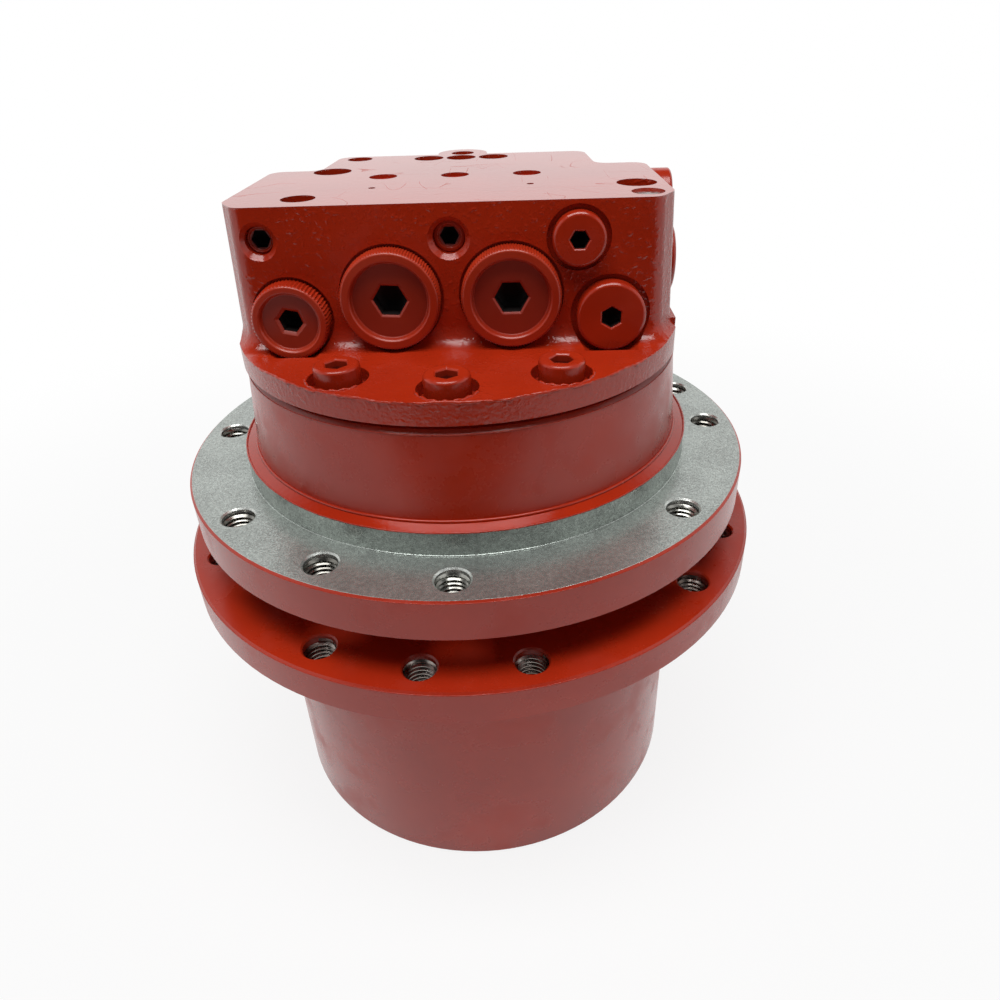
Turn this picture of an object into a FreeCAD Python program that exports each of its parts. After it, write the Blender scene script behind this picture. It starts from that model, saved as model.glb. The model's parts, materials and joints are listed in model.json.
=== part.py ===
import FreeCAD, Part
import math
import os
import re

import Sketcher
from FreeCAD import Placement, Rotation, Vector

# Excavator final drive, millimetres. +Z up, origin at the middle of the drum's end face,
# which stands on the floor. The valve block's front face looks towards -Y.

# Driving dimensions, one cell of the sheet each
SIZES = {
    # Gear train
    "pressure_angle": 20,
    "addendum_factor": 0.85,
    "dedendum_factor": 1.25,
    "tooth_backlash": 0.18,
    "sun_teeth": 12,
    "planet_teeth": 21,
    "planet_count": 3,
    "ring_wall": 5.9375,
    "first_stage_width": 15,
    "second_stage_width": 20,
    "first_pin_radius": 6,
    "second_pin_radius": 8,
    "carrier_thickness": 6,
    "pin_clearance": 0.05,
    "face_gap": 1,
    "shaft_gap": 0.05,
    "seat_gap": 0.05,
    # Drum
    "bearing_wall": 10.5,
    "drum_wall": 8,
    "drum_chamfer": 1.5,
    "sprocket_flange_reach": 25,
    "sprocket_flange_thickness": 12,
    "sprocket_hole_inset": 10,
    "sprocket_hole_count": 9,
    "flange_hole_radius": 5,
    "flange_hole_sink": 0.5,
    "flange_chamfer": 0.8,
    # End cover
    "snap_ring_recess": 2,
    "snap_ring_thickness": 2.5,
    "snap_ring_bite": 1.5,
    "snap_ring_width": 4.5,
    "snap_ring_mouth": 16,
    "cover_thickness": 7,
    "cover_seal_groove": 2.4,
    "cover_plug_place": 45,
    "cover_plug_radius": 6.5,
    "cover_plug_head": 9,
    "cover_plug_inset": 0.5,
    # Main bearings and the face seal
    "spindle_wall": 10,
    "race_thickness": 5,
    "bearing_depth": 15,
    "bearing_width": 16,
    "bearing_rib": 2,
    "rib_reach": 3.5,
    "ball_radius": 4.8,
    "cage_half_width": 1.8,
    "cage_ball_gap": 0.3,
    "cage_end_gap": 0.6,
    "ball_count": 24,
    "nut_thickness": 4,
    "nut_thread_depth": 2,
    "nut_reach": 5,
    "seal_housing_depth": 13,
    "seal_housing_reach": 3,
    "seal_ring_room": 8,
    "seal_ring_wall": 4,
    "seal_ring_face": 3,
    "seal_ring_length": 10,
    "seal_skirt": 6,
    # Hub
    "neck_wall": 17,
    "neck_taper": 2,
    "pilot_step": 4,
    "frame_flange_reach": 20,
    "frame_hole_inset": 9.5,
    "seal_gap": 14,
    "frame_flange_thickness": 14,
    "pilot_height": 7.5,
    "lip_height": 1.5,
    "neck_chamfer": 1.2,
    "spigot_depth": 6.4,
    "spigot_lip": 3.5,
    "spigot_gap": 0.2,
    "hub_floor": 17,
    "swash_room": 6,
    "brake_shoulder_step": 8,
    "piston_bore_step": 4,
    "swash_zone": 43,
    "pin_socket_depth": 12,
    # Motor
    "shaft_radius": 7.5,
    "shaft_journal": 10,
    "bearing_ring": 20,
    "bearing_ring_height": 9,
    "roller_radius": 3,
    "roller_count": 12,
    "roller_end_gap": 0.5,
    "seal_lip_height": 1.5,
    "shaft_seal_radius": 15,
    "shaft_seal_height": 5,
    "barrel_radius": 32,
    "barrel_length": 46,
    "cylinder_circle": 21,
    "cylinder_count": 9,
    "piston_radius": 5.5,
    "piston_length": 40,
    "shoe_radius": 6.6,
    "shoe_height": 4,
    "shoe_lip": 1.2,
    "shoe_neck": 4.5,
    "ball_socket_gap": 0.2,
    "piston_tip_radius": 4,
    "piston_tip": 3,
    "piston_taper": 2,
    "retainer_thickness": 2.5,
    "retainer_bore": 13,
    "retainer_gap": 0.1,
    "guide_step": 1.5,
    "port_plate_thickness": 3,
    "port_slot_half_width": 3,
    "cylinder_blind_end": 6,
    "swash_radius": 36,
    "swash_thickness": 12,
    "swash_bore": 16,
    "swash_angle": 14,
    "pivot_height": 5,
    "pivot_radius": 6,
    "pivot_spread": 24,
    "pivot_embed": 4.4,
    "tilt_piston_radius": 5,
    "tilt_piston_arm": 28,
    "barrel_clearance": 3.5,
    "plate_edge_gap": 4,
    "brake_plate": 1.7,
    "brake_plate_gap": 0.1,
    "brake_plate_pairs": 3,
    "brake_stack": 14,
    "brake_crown": 16,
    "piston_step_room": 2,
    "piston_bore_gap": 2,
    "spring_bore_gap": 3,
    "spring_rim_gap": 2,
    "brake_piston_lift": 0.4,
    "brake_spring_thickness": 2,
    # Valve block
    "parting_gap": 1.8,
    "base_overhang": 0.75,
    "base_thickness": 6.8,
    "front_ledge": 40.75,
    "front_corner_inset": 5.1,
    "side_ledge": 7.45,
    "corner_depth": 8,
    "side_draft": 1.8,
    "side_rib_reach": 1.5,
    "side_rib_height": 4,
    "side_rib_width": 2,
    "side_rib_length": 30,
    "shoulder_narrowing": 1.6,
    "shoulder_depth": 57.3,
    "shoulder_step": 16.4,
    "tail_narrowing": 1.8,
    "tail_ledge": 17.05,
    "tail_lobe_reach": 5.25,
    "block_height": 41,
    "tail_lobe_radius": 9,
    "block_corner": 5,
    "front_fillet": 6,
    "screw_inset": 8,
    "screw_radius": 4,
    "screw_head_radius": 6.5,
    "screw_head_height": 8,
    "screw_length": 22,
    "screw_seat": 3.8,
    "screw_pocket_radius": 8.6,
    "screw_socket": 6,
    # Plugs and spools of the valve block
    "plug_rim": 1,
    "plug_face_gap": 0.05,
    "large_plug_rim": 2.6,
    "large_plug_dish": 2,
    "dish_taper": 0.4,
    "large_plug_socket": 9,
    "drain_plug_rim": 2.2,
    "drain_plug_socket": 7,
    "upper_plug_socket": 5.5,
    "lower_plug_socket": 6.5,
    "socket_depth": 4,
    "lower_socket_depth": 5,
    "cap_socket_depth": 3,
    "thread_end_gap": 3,
    "large_plug_rise": 15.1,
    "drain_plug_edge": 17.1,
    "drain_plug_rise": 9.7,
    "upper_plug_edge": 27.4,
    "upper_plug_drop": 10.4,
    "lower_plug_edge": 17.8,
    "lower_plug_rise": 8.6,
    "left_jet_edge": 10.8,
    "left_jet_drop": 9.3,
    "middle_jet_drop": 9.7,
    "spool_rise": 17,
    "spool_spring_room": 11,
    "spool_waist": 4.8,
    "spool_edge": 0.6,
    "speed_drop": 9.5,
    "speed_setback": 6.3,
    "speed_spring_room": 13,
    "speed_waist": 3,
    "cap_set_back": 0.3,
    "spool_cap_socket": 8,
    "speed_cap_socket": 6,
    "bare_plug_inset": 7.6,
    "bare_plug_set_back": 8,
    "spring_side_gap": 0.5,
    "spotface_depth": 1.5,
    "spotface_margin": 0.8,
    "spotface_reach": 9,
    "large_plug_radius": 14.5,
    "large_plug_height": 7,
    "large_plug_side": 17.5,
    "large_port_radius": 10.4,
    "drain_plug_radius": 11.25,
    "drain_port_radius": 6.6,
    "upper_plug_radius": 7.6,
    "upper_plug_height": 4.5,
    "upper_port_radius": 5,
    "lower_plug_radius": 10.1,
    "lower_plug_height": 5.5,
    "lower_port_radius": 6.6,
    "port_depth": 15,
    "left_jet_radius": 4,
    "middle_jet_side": 0.3,
    "middle_jet_radius": 4.6,
    "jet_sink": 1.4,
    "jet_screw_depth": 3,
    "jet_screw_length": 8,
    "jet_depth": 12,
    "spool_place": -3,
    "spool_radius": 8,
    "spool_cap_radius": 10.6,
    "spool_cap_height": 4.3,
    "spool_cap_screw": 12,
    "speed_radius": 5,
    "speed_low": 2,
    "spool_spring_wire": 0.7,
    "spool_spring_turns": 5,
    "joint_seal_inset": 1.2,
    "joint_seal_width": 2,
    "joint_seal_depth": 1.5,
    "speed_cap_radius": 8.5,
    "speed_cap_height": 6.5,
    "speed_cap_screw": 8,
    "gallery_plug_radius": 4.5,
    "gallery_plug_pitch": 23.1,
    "gallery_plug_place": 11.8,
    "gallery_depth": 5,
    "gallery_plug_recess": 1.2,
    "bare_plug_radius": 4.75,
    "bare_plug_depth": 8,
    # Plain holes of the top face
    "tail_hole_radius": 5.25,
    "tail_hole_depth": 20,
    "tail_hole_pitch": 11.6,
    "tail_hole_place": 47.1,
    "lobe_hole_radius": 4.15,
    "lobe_hole_depth": 15,
    "dowel_hole_radius": 1.1,
    "dowel_hole_depth": 4,
    "dowel_hole_side": 23.8,
    "dowel_hole_place": -7.1,
    "left_deep_hole_radius": 6.3,
    "left_deep_hole_depth": 22,
    "left_deep_hole_side": -41.8,
    "left_deep_hole_place": 23.8,
    "right_deep_hole_radius": 6,
    "right_deep_hole_depth": 12,
    "right_deep_hole_side": 55.3,
    "right_deep_hole_place": -9.4,
    "left_front_hole_radius": 5,
    "left_front_hole_depth": 14,
    "left_front_hole_side": -43,
    "left_front_hole_place": -20.4,
    "tail_left_hole_radius": 4.45,
    "tail_left_hole_depth": 18,
    "tail_left_hole_side": -36.8,
    "tail_left_hole_place": 49,
}

# Sizes that follow from the driving ones
PLACES = {
    "swash_cavity": "swash_radius + swash_room",
    "plate_cavity": "swash_cavity + brake_shoulder_step",
    "piston_cavity": "plate_cavity + piston_bore_step",
    "spindle_radius": "swash_cavity + spindle_wall",
    "race_outer": "spindle_radius + bearing_depth",
    "drum_radius": "race_outer + bearing_wall",
    "gear_module": "(drum_radius - drum_wall - ring_wall) / (ring_teeth / 2 + dedendum_factor)",
    "ring_teeth": "sun_teeth + 2 * planet_teeth",
    "ring_pitch_radius": "gear_module * ring_teeth / 2",
    "sun_pitch_radius": "gear_module * sun_teeth / 2",
    "planet_pitch_radius": "gear_module * planet_teeth / 2",
    "gear_centres": "sun_pitch_radius + planet_pitch_radius",
    "ring_outer": "ring_pitch_radius + dedendum_factor * gear_module + ring_wall",
    "sprocket_flange_radius": "drum_radius + sprocket_flange_reach",
    "sprocket_hole_circle": "sprocket_flange_radius - sprocket_hole_inset",
    "sprocket_top": "seal_seat + seal_housing_depth",
    "drum_height": "sprocket_top - sprocket_flange_thickness",
    "cover_low": "snap_ring_recess + snap_ring_thickness",
    "cover_top": "cover_low + cover_thickness",
    "first_low": "cover_top + 2.5 * face_gap",
    "first_top": "first_low + first_stage_width",
    "carrier_low": "first_top + face_gap",
    "carrier_top": "carrier_low + carrier_thickness",
    "second_low": "carrier_top + 2 * face_gap",
    "second_top": "second_low + second_stage_width",
    "hub_low": "second_top + 2 * face_gap",
    "nut_top": "hub_low + nut_thickness",
    "lower_race_low": "nut_top",
    "lower_race_top": "lower_race_low + bearing_width",
    "upper_race_low": "lower_race_top + bearing_rib",
    "upper_race_top": "upper_race_low + bearing_width",
    "ball_circle": "spindle_radius + bearing_depth / 2",
    "seal_seat": "upper_race_top + face_gap",
    "seal_housing": "race_outer + seal_housing_reach",
    "seal_ring_bore": "spindle_radius + seal_ring_room",
    "seal_ring_sleeve": "seal_ring_bore + seal_ring_wall",
    "frame_low": "sprocket_top + seal_gap",
    "frame_top": "frame_low + frame_flange_thickness",
    "seal_plane": "sprocket_top + 0.5 * face_gap",
    "hub_seal_seat": "2 * seal_plane - seal_seat",
    "pilot_top": "frame_top + pilot_height",
    "lip_top": "pilot_top + lip_height",
    "cavity_floor": "hub_low + hub_floor",
    "brake_shoulder": "cavity_floor + swash_zone",
    "piston_zone": "brake_shoulder + barrel_length - brake_crown",
    "brake_piston_height": "barrel_length - brake_stack",
    "barrel_low": "brake_shoulder + face_gap",
    "barrel_top": "barrel_low + barrel_length",
    "joint_face": "barrel_top + port_plate_thickness",
    "neck_top": "joint_face + spigot_depth",
    "neck_radius": "piston_cavity + neck_wall",
    "neck_base_radius": "neck_radius + neck_taper",
    "pilot_radius": "neck_base_radius + pilot_step",
    "frame_flange_radius": "pilot_radius + frame_flange_reach",
    "frame_hole_circle": "frame_flange_radius - frame_hole_inset",
    "screw_circle": "piston_cavity + screw_inset",
    "spigot_radius": "neck_radius - spigot_lip",
    "steel_inner": "barrel_radius + barrel_clearance",
    "friction_outer": "plate_cavity - plate_edge_gap",
    "pivot_level": "cavity_floor + pivot_height",
    "swash_high": "pivot_level + (pivot_embed + swash_thickness) / cos(swash_angle)"
                  " + (cylinder_circle + shoe_radius) * tan(swash_angle)",
    "tilt_top": "pivot_level + pivot_embed / cos(swash_angle)"
                " - (tilt_piston_arm + tilt_piston_radius) * tan(swash_angle) - 4 * shaft_gap",
    "base_low": "neck_top + parting_gap",
    "ledge_top": "base_low + base_thickness",
    "block_top": "ledge_top + block_height",
    "base_radius": "neck_radius + base_overhang",
    "block_front": "base_radius - front_ledge",
    "block_half": "base_radius - side_ledge",
    "block_front_half": "block_half - front_corner_inset",
    "corner_set_back": "block_front - corner_depth",
    "base_half": "block_half + side_draft",
    "rib_half": "base_half + side_rib_reach",
    "shoulder_half": "block_half - shoulder_narrowing",
    "shoulder_place": "shoulder_depth - block_front",
    "tail_root_half": "shoulder_half - shoulder_step",
    "tail_end_half": "tail_root_half - tail_narrowing",
    "tail_place": "base_radius - tail_ledge",
    "tail_lobe_place": "base_radius - tail_lobe_reach - tail_lobe_radius",
    "large_plug_level": "ledge_top + large_plug_rise",
    "drain_plug_side": "block_half - drain_plug_edge",
    "drain_plug_level": "ledge_top + drain_plug_rise",
    "upper_plug_side": "block_half - upper_plug_edge",
    "upper_plug_level": "block_top - upper_plug_drop",
    "lower_plug_side": "block_half - lower_plug_edge",
    "lower_plug_level": "ledge_top + lower_plug_rise",
    "left_jet_side": "block_half - left_jet_edge",
    "left_jet_level": "block_top - left_jet_drop",
    "middle_jet_level": "block_top - middle_jet_drop",
    "cap_reach": "block_half - cap_set_back",
    "spool_shank_end": "cap_reach - spool_cap_screw + face_gap",
    "spool_level": "ledge_top + spool_rise",
    "spool_length": "2 * (spool_shank_end - spool_spring_room)",
    "speed_shank_end": "cap_reach - speed_cap_screw + face_gap",
    "speed_level": "block_top - speed_drop",
    "speed_place": "shoulder_place - speed_setback",
    "speed_length": "speed_shank_end - speed_spring_room - speed_low",
    "bare_plug_side": "block_half - bare_plug_inset",
    "bare_plug_place": "block_front - bare_plug_set_back",
    "screw_seat_level": "ledge_top - screw_seat",
}

FRAME_HOLE_ANGLES = (0, 51.3, -51.3, 92.5, -92.5, 128.7, -128.7, 180, -25.5, 112)
SCREW_ANGLES = (-120, -90, -60, 34, 146)
EXTRA_SPROCKET_ANGLES = (-96.8, -16.8)
FIRST_SPROCKET_ANGLE = -76.8

document = FreeCAD.newDocument("final_drive")
sheet = document.addObject("Spreadsheet::Sheet", "Sizes")
nodes = []

# Lengths under this are read as equal when an edge or a tooth is looked at
NEAR = 0.01


# Sheet and expressions
def fill_sheet():
    """Write every driving dimension into the sheet, with its name as alias."""
    for row, (name, size) in enumerate(SIZES.items(), start=1):
        sheet.set(f"A{row}", name.replace("_", " "))
        sheet.set(f"B{row}", str(size))
        sheet.setAlias(f"B{row}", name)
    document.recompute()


def spelled(text):
    """Write a size out in cells of the sheet."""
    def cell(match):
        word = match.group(0)
        if word in PLACES:
            return "(" + spelled(PLACES[word]) + ")"
        return "Sizes." + word if word in SIZES else word
    return re.sub(r"[a-z][a-z0-9_]*", cell, str(text))


def value(text):
    """Work a size out as a number of millimetres or degrees."""
    return float(sheet.evalExpression(spelled(text)))


def bind(thing, field, text):
    """Tie one property of an object to a size."""
    thing.setExpression(field, spelled(text))


# Sketches and turned pieces
def origin_plane(body, role):
    """Find one of the body's own origin planes."""
    return next(plane for plane in body.Origin.OriginFeatures if plane.Role == role)


def outline(body, name, role, points, lift="0"):
    """Draw a closed outline of straight edges whose corners are tied to sizes."""
    sketch = body.newObject("Sketcher::SketchObject", name)
    sketch.AttachmentSupport = (origin_plane(body, role), [""])
    sketch.MapMode = "FlatFace"
    bind(sketch, "AttachmentOffset.Base.z", lift)
    corners = [Vector(value(across), value(up), 0) for across, up in points]
    count = len(corners)
    for index, corner in enumerate(corners):
        sketch.addGeometry(Part.LineSegment(corner, corners[(index + 1) % count]))
    joins = [Sketcher.Constraint("Coincident", index, 2, (index + 1) % count, 1) for index in range(count)]
    sketch.addConstraint(joins)
    for index, (across, up) in enumerate(points):
        tie_corner(sketch, index, "DistanceX", -2, across)
        tie_corner(sketch, index, "DistanceY", -1, up)
    return sketch


def tie_corner(sketch, index, kind, axis, text):
    """Tie one corner's distance from the sketch's origin to a size."""
    distance = value(text)
    if abs(distance) < 1e-9:
        sketch.addConstraint(Sketcher.Constraint("PointOnObject", index, 1, axis))
        return
    number = sketch.addConstraint(Sketcher.Constraint(kind, -1, 1, index, 1, distance))
    bind(sketch, f"Constraints[{number}]", text)


def turned(name, points, node=True, angle=360):
    """Make a body by turning an outline of radius and height about its own Z axis."""
    body = document.addObject("PartDesign::Body", name)
    body.Label = name if node else name + "_blank"
    sketch = outline(body, name + "_profile", "XZ_Plane", points)
    turn = body.newObject("PartDesign::Revolution", name + "_turn")
    turn.Profile = sketch
    turn.ReferenceAxis = (sketch, ["V_Axis"])
    turn.Angle = angle
    body.Tip = turn
    if node:
        nodes.append(body)
    return body


def ring(name, inner, outer, low, high, node=True):
    """Make a plain ring, or a disc where the inner radius is zero."""
    points = [(inner, low), (outer, low), (outer, high), (inner, high)]
    return turned(name, points, node)


# Primitives, drillings and groups
def place(thing, x, y, z, turn=None):
    """Tie an object's place to sizes and give it its direction."""
    thing.Placement = Placement(Vector(0, 0, 0), turn or Rotation())
    bind(thing, "Placement.Base.x", x)
    bind(thing, "Placement.Base.y", y)
    bind(thing, "Placement.Base.z", z)
    return thing


def drilling(name, radius, length, x, y, z, turn=None):
    """Make a cylinder that drills a hole or stands as a pin."""
    tool = document.addObject("Part::Cylinder", name)
    bind(tool, "Radius", radius)
    bind(tool, "Height", length)
    return place(tool, x, y, z, turn)


def box(name, length, width, height, x, y, z):
    """Make a block with its sides along the axes."""
    form = document.addObject("Part::Box", name)
    bind(form, "Length", length)
    bind(form, "Width", width)
    bind(form, "Height", height)
    return place(form, x, y, z)


def countersink(name, radius, sink, x, y, z, turn=None):
    """Make a cone that opens a hole's mouth at its height, widening outwards."""
    tool = document.addObject("Part::Cone", name)
    bind(tool, "Radius1", radius)
    bind(tool, "Radius2", f"{radius} + 2 * ({sink})")
    bind(tool, "Height", f"2 * ({sink})")
    shift = (turn or Rotation()).multVec(Vector(0, 0, 1))
    back = [f"({at}) - {round(along, 6)} * ({sink})" for at, along in zip((x, y, z), shift)]
    return place(tool, *back, turn)


def hexagon(name, flats, depth, x, y, z, turn=None):
    """Make a six-sided socket's form, standing up from its place."""
    tool = document.addObject("Part::Prism", name)
    tool.Polygon = 6
    bind(tool, "Circumradius", f"({flats}) / sqrt(3)")
    bind(tool, "Height", depth)
    return place(tool, x, y, z, turn)


def joined(name, pieces):
    """Fuse several forms into one."""
    if len(pieces) == 1:
        return pieces[0]
    union = document.addObject("Part::MultiFuse", name)
    union.Shapes = pieces
    return union


def cut(name, base, tools, node=True):
    """Cut tools out of a form and give the result its name."""
    result = document.addObject("Part::Cut", name)
    result.Label = name
    result.Base = base
    result.Tool = joined(name + "_tools", tools)
    if node:
        nodes.append(result)
    return result


def solid(name, shape, turn=None, at=None):
    """Keep a shape that is worked out from the sheet as a named piece."""
    piece = document.addObject("Part::Feature", name)
    piece.Label = name
    piece.Shape = shape
    piece.Placement = Placement(at or Vector(0, 0, 0), turn or Rotation())
    nodes.append(piece)
    return piece


def spread(name, source, placements):
    """Repeat one piece at several places as separate solids of one group."""
    document.recompute()
    copies = []
    for where in placements:
        copy = source.Shape.copy()
        copy.Placement = where.multiply(copy.Placement)
        copies.append(copy)
    return solid(name, Part.makeCompound(copies))


def polar(radius, degrees, height="0"):
    """Give x, y and z as size texts for a place on a circle about Z."""
    return f"({radius}) * cos({degrees})", f"({radius}) * sin({degrees})", height


def around(count, radius, height, first=0.0):
    """Give evenly spaced placements about Z, each turned with its place."""
    places = []
    for index in range(count):
        degrees = first + 360.0 * index / count
        turn = Rotation(Vector(0, 0, 1), degrees)
        places.append(Placement(turn.multVec(Vector(radius, 0, height)), turn))
    return places


OUT_FRONT = Rotation(Vector(1, 0, 0), 90)
OUT_RIGHT = Rotation(Vector(0, 1, 0), 90)
OUT_LEFT = Rotation(Vector(0, 1, 0), -90)


# Gears
def flank_half_angle(radius, pitch_radius, thickness):
    """Give half of a tooth's angle at a radius on its involute flanks."""
    pressure = math.radians(value("pressure_angle"))
    local = math.acos(min(1.0, pitch_radius * math.cos(pressure) / radius))
    involute = math.tan(pressure) - pressure - math.tan(local) + local
    return thickness / (2 * pitch_radius) + involute


def toothed_face(teeth, outward, inward, thickness, steps=3):
    """Make the face inside a ring of involute teeth, the first centred on +X."""
    pitch_radius = value("gear_module") * teeth / 2
    base = pitch_radius * math.cos(math.radians(value("pressure_angle")))
    tip = pitch_radius + outward
    root = pitch_radius - inward
    start = max(base, root)
    flank = [start + (tip - start) * step / steps for step in range(steps + 1)]
    half = [(radius, flank_half_angle(radius, pitch_radius, thickness)) for radius in flank]
    if root < start - NEAR:
        half.insert(0, (root, half[0][1]))
    corners = []
    for tooth in range(teeth):
        middle = 2 * math.pi * tooth / teeth
        tooth_side = [(radius, middle - angle) for radius, angle in half]
        tooth_side += [(radius, middle + angle) for radius, angle in reversed(half)]
        corners += [Vector(radius * math.cos(at), radius * math.sin(at), 0) for radius, at in tooth_side]
    return Part.Face(Part.makePolygon(corners + corners[:1]))


def tooth_thickness(sign):
    """Give a tooth's or a space's width on the pitch circle."""
    return math.pi * value("gear_module") / 2 + sign * value("tooth_backlash") / 2


def outside_gear(teeth, width, bore):
    """Make a spur gear with a plain bore, standing on the XY plane."""
    face = toothed_face(teeth, value("addendum_factor * gear_module"),
                        value("dedendum_factor * gear_module"), tooth_thickness(-1))
    blank = face.extrude(Vector(0, 0, width))
    return blank.cut(Part.makeCylinder(bore, width))


def planet_places():
    """Give the angles where planets mesh with both the sun and the ring."""
    steps = int(value("sun_teeth + ring_teeth"))
    count = int(value("planet_count"))
    return [round(index * steps / count) * 360.0 / steps for index in range(count)]


def planet_turn(angle):
    """Give the turn that sets a planet's teeth into the ring's spaces."""
    return angle * (1 - value("ring_teeth / planet_teeth"))


def sun_turn():
    """Give the turn that sets the sun's spaces on the first planet's teeth."""
    return 180 * value("planet_teeth / sun_teeth") - 180 / value("sun_teeth")


def planets(stage, low, width, bore):
    """Make one stage's planet gears, each a piece of its own."""
    shape = outside_gear(int(value("planet_teeth")), value(width), value(bore))
    for number, angle in enumerate(planet_places(), start=1):
        arm = Rotation(Vector(0, 0, 1), angle).multVec(Vector(value("gear_centres"), 0, value(low)))
        solid(f"{stage}_planet_{number}", shape, Rotation(Vector(0, 0, 1), planet_turn(angle)), arm)


def ring_gear():
    """Make the ring gear that both stages share, pressed into the drum."""
    low = value("cover_top")
    height = value("hub_low") - low
    spaces = toothed_face(int(value("ring_teeth")), value("dedendum_factor * gear_module"),
                          value("addendum_factor * gear_module"), tooth_thickness(1))
    rim = Part.makeCylinder(value("ring_outer"), height)
    solid("ring_gear", rim.cut(spaces.extrude(Vector(0, 0, height))), at=Vector(0, 0, low))


def first_stage():
    """Make the input stage: sun, three planets, their pins and the carrier that drives the second sun."""
    low = value("first_low")
    width = value("first_stage_width")
    turn = Rotation(Vector(0, 0, 1), sun_turn())
    sun = outside_gear(int(value("sun_teeth")), width, value("shaft_radius"))
    solid("first_sun_gear", sun, turn, Vector(0, 0, low))
    planets("first", "first_low", "first_stage_width", "first_pin_radius + pin_clearance")
    plate = ring("first_carrier_plate", "shaft_radius + face_gap", "gear_centres + 2 * first_pin_radius",
                 "carrier_low", "carrier_top", node=False)
    sockets = []
    for number, angle in enumerate(planet_places(), start=1):
        place_x, place_y, level = polar("gear_centres", angle, "carrier_low")
        sockets.append(drilling(f"first_carrier_socket_{number}", "first_pin_radius",
                                "carrier_thickness", place_x, place_y, level))
    cut("first_carrier", plate, sockets)
    pin = ring("first_planet_pin_blank", "0", "first_pin_radius", "first_low", "carrier_top", node=False)
    spread("first_planet_pins", pin, [Placement(Rotation(Vector(0, 0, 1), angle).multVec(
        Vector(value("gear_centres"), 0, 0)), Rotation()) for angle in planet_places()])


def second_stage():
    """Make the output stage: sun, three planets and the pins pressed into the hub's end."""
    low = value("carrier_top")
    height = value("second_top") - low
    turn = Rotation(Vector(0, 0, 1), sun_turn())
    sun = outside_gear(int(value("sun_teeth")), height, value("shaft_radius + face_gap"))
    solid("second_sun_gear", sun, turn, Vector(0, 0, low))
    planets("second", "second_low", "second_stage_width", "second_pin_radius + pin_clearance")
    pin = ring("second_planet_pin_blank", "0", "second_pin_radius", "second_low",
               "hub_low + pin_socket_depth", node=False)
    spread("second_planet_pins", pin, [Placement(Rotation(Vector(0, 0, 1), angle).multVec(
        Vector(value("gear_centres"), 0, 0)), Rotation()) for angle in planet_places()])


# Drum and end cover
def drum():
    """Make the turning drum with its sprocket flange, bearing seats and cover groove."""
    body = turned("drum_blank", [
        ("ring_outer", "0"),
        ("drum_radius - drum_chamfer", "0"),
        ("drum_radius", "drum_chamfer"),
        ("drum_radius", "drum_height"),
        ("sprocket_flange_radius - flange_chamfer", "drum_height"),
        ("sprocket_flange_radius", "drum_height + flange_chamfer"),
        ("sprocket_flange_radius", "sprocket_top - flange_chamfer"),
        ("sprocket_flange_radius - flange_chamfer", "sprocket_top"),
        ("seal_housing", "sprocket_top"),
        ("seal_housing", "seal_seat"),
        ("race_outer", "seal_seat"),
        ("race_outer", "upper_race_low"),
        ("race_outer - rib_reach", "upper_race_low"),
        ("race_outer - rib_reach", "lower_race_top"),
        ("race_outer", "lower_race_top"),
        ("race_outer", "hub_low"),
        ("ring_outer", "hub_low"),
        ("ring_outer", "cover_low"),
        ("ring_outer + snap_ring_bite", "cover_low"),
        ("ring_outer + snap_ring_bite", "snap_ring_recess"),
        ("ring_outer", "snap_ring_recess"),
    ], node=False)
    count = int(value("sprocket_hole_count"))
    angles = [FIRST_SPROCKET_ANGLE + 360.0 * index / count for index in range(count)]
    tools = []
    for number, angle in enumerate(angles + list(EXTRA_SPROCKET_ANGLES), start=1):
        tools += flange_hole(f"sprocket_hole_{number}", "sprocket_hole_circle", angle,
                             "drum_height", "sprocket_top")
    cut("drum_housing", body, tools)


def flange_hole(name, circle, angle, low, high):
    """Make the drill and countersink of one tapped hole through a flange."""
    x, y, level = polar(circle, angle, low)
    drill = drilling(name, "flange_hole_radius", f"{high} - {low}", x, y, level)
    sink = countersink(name + "_sink", "flange_hole_radius", "flange_hole_sink", x, y, high)
    return [drill, sink]


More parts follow.
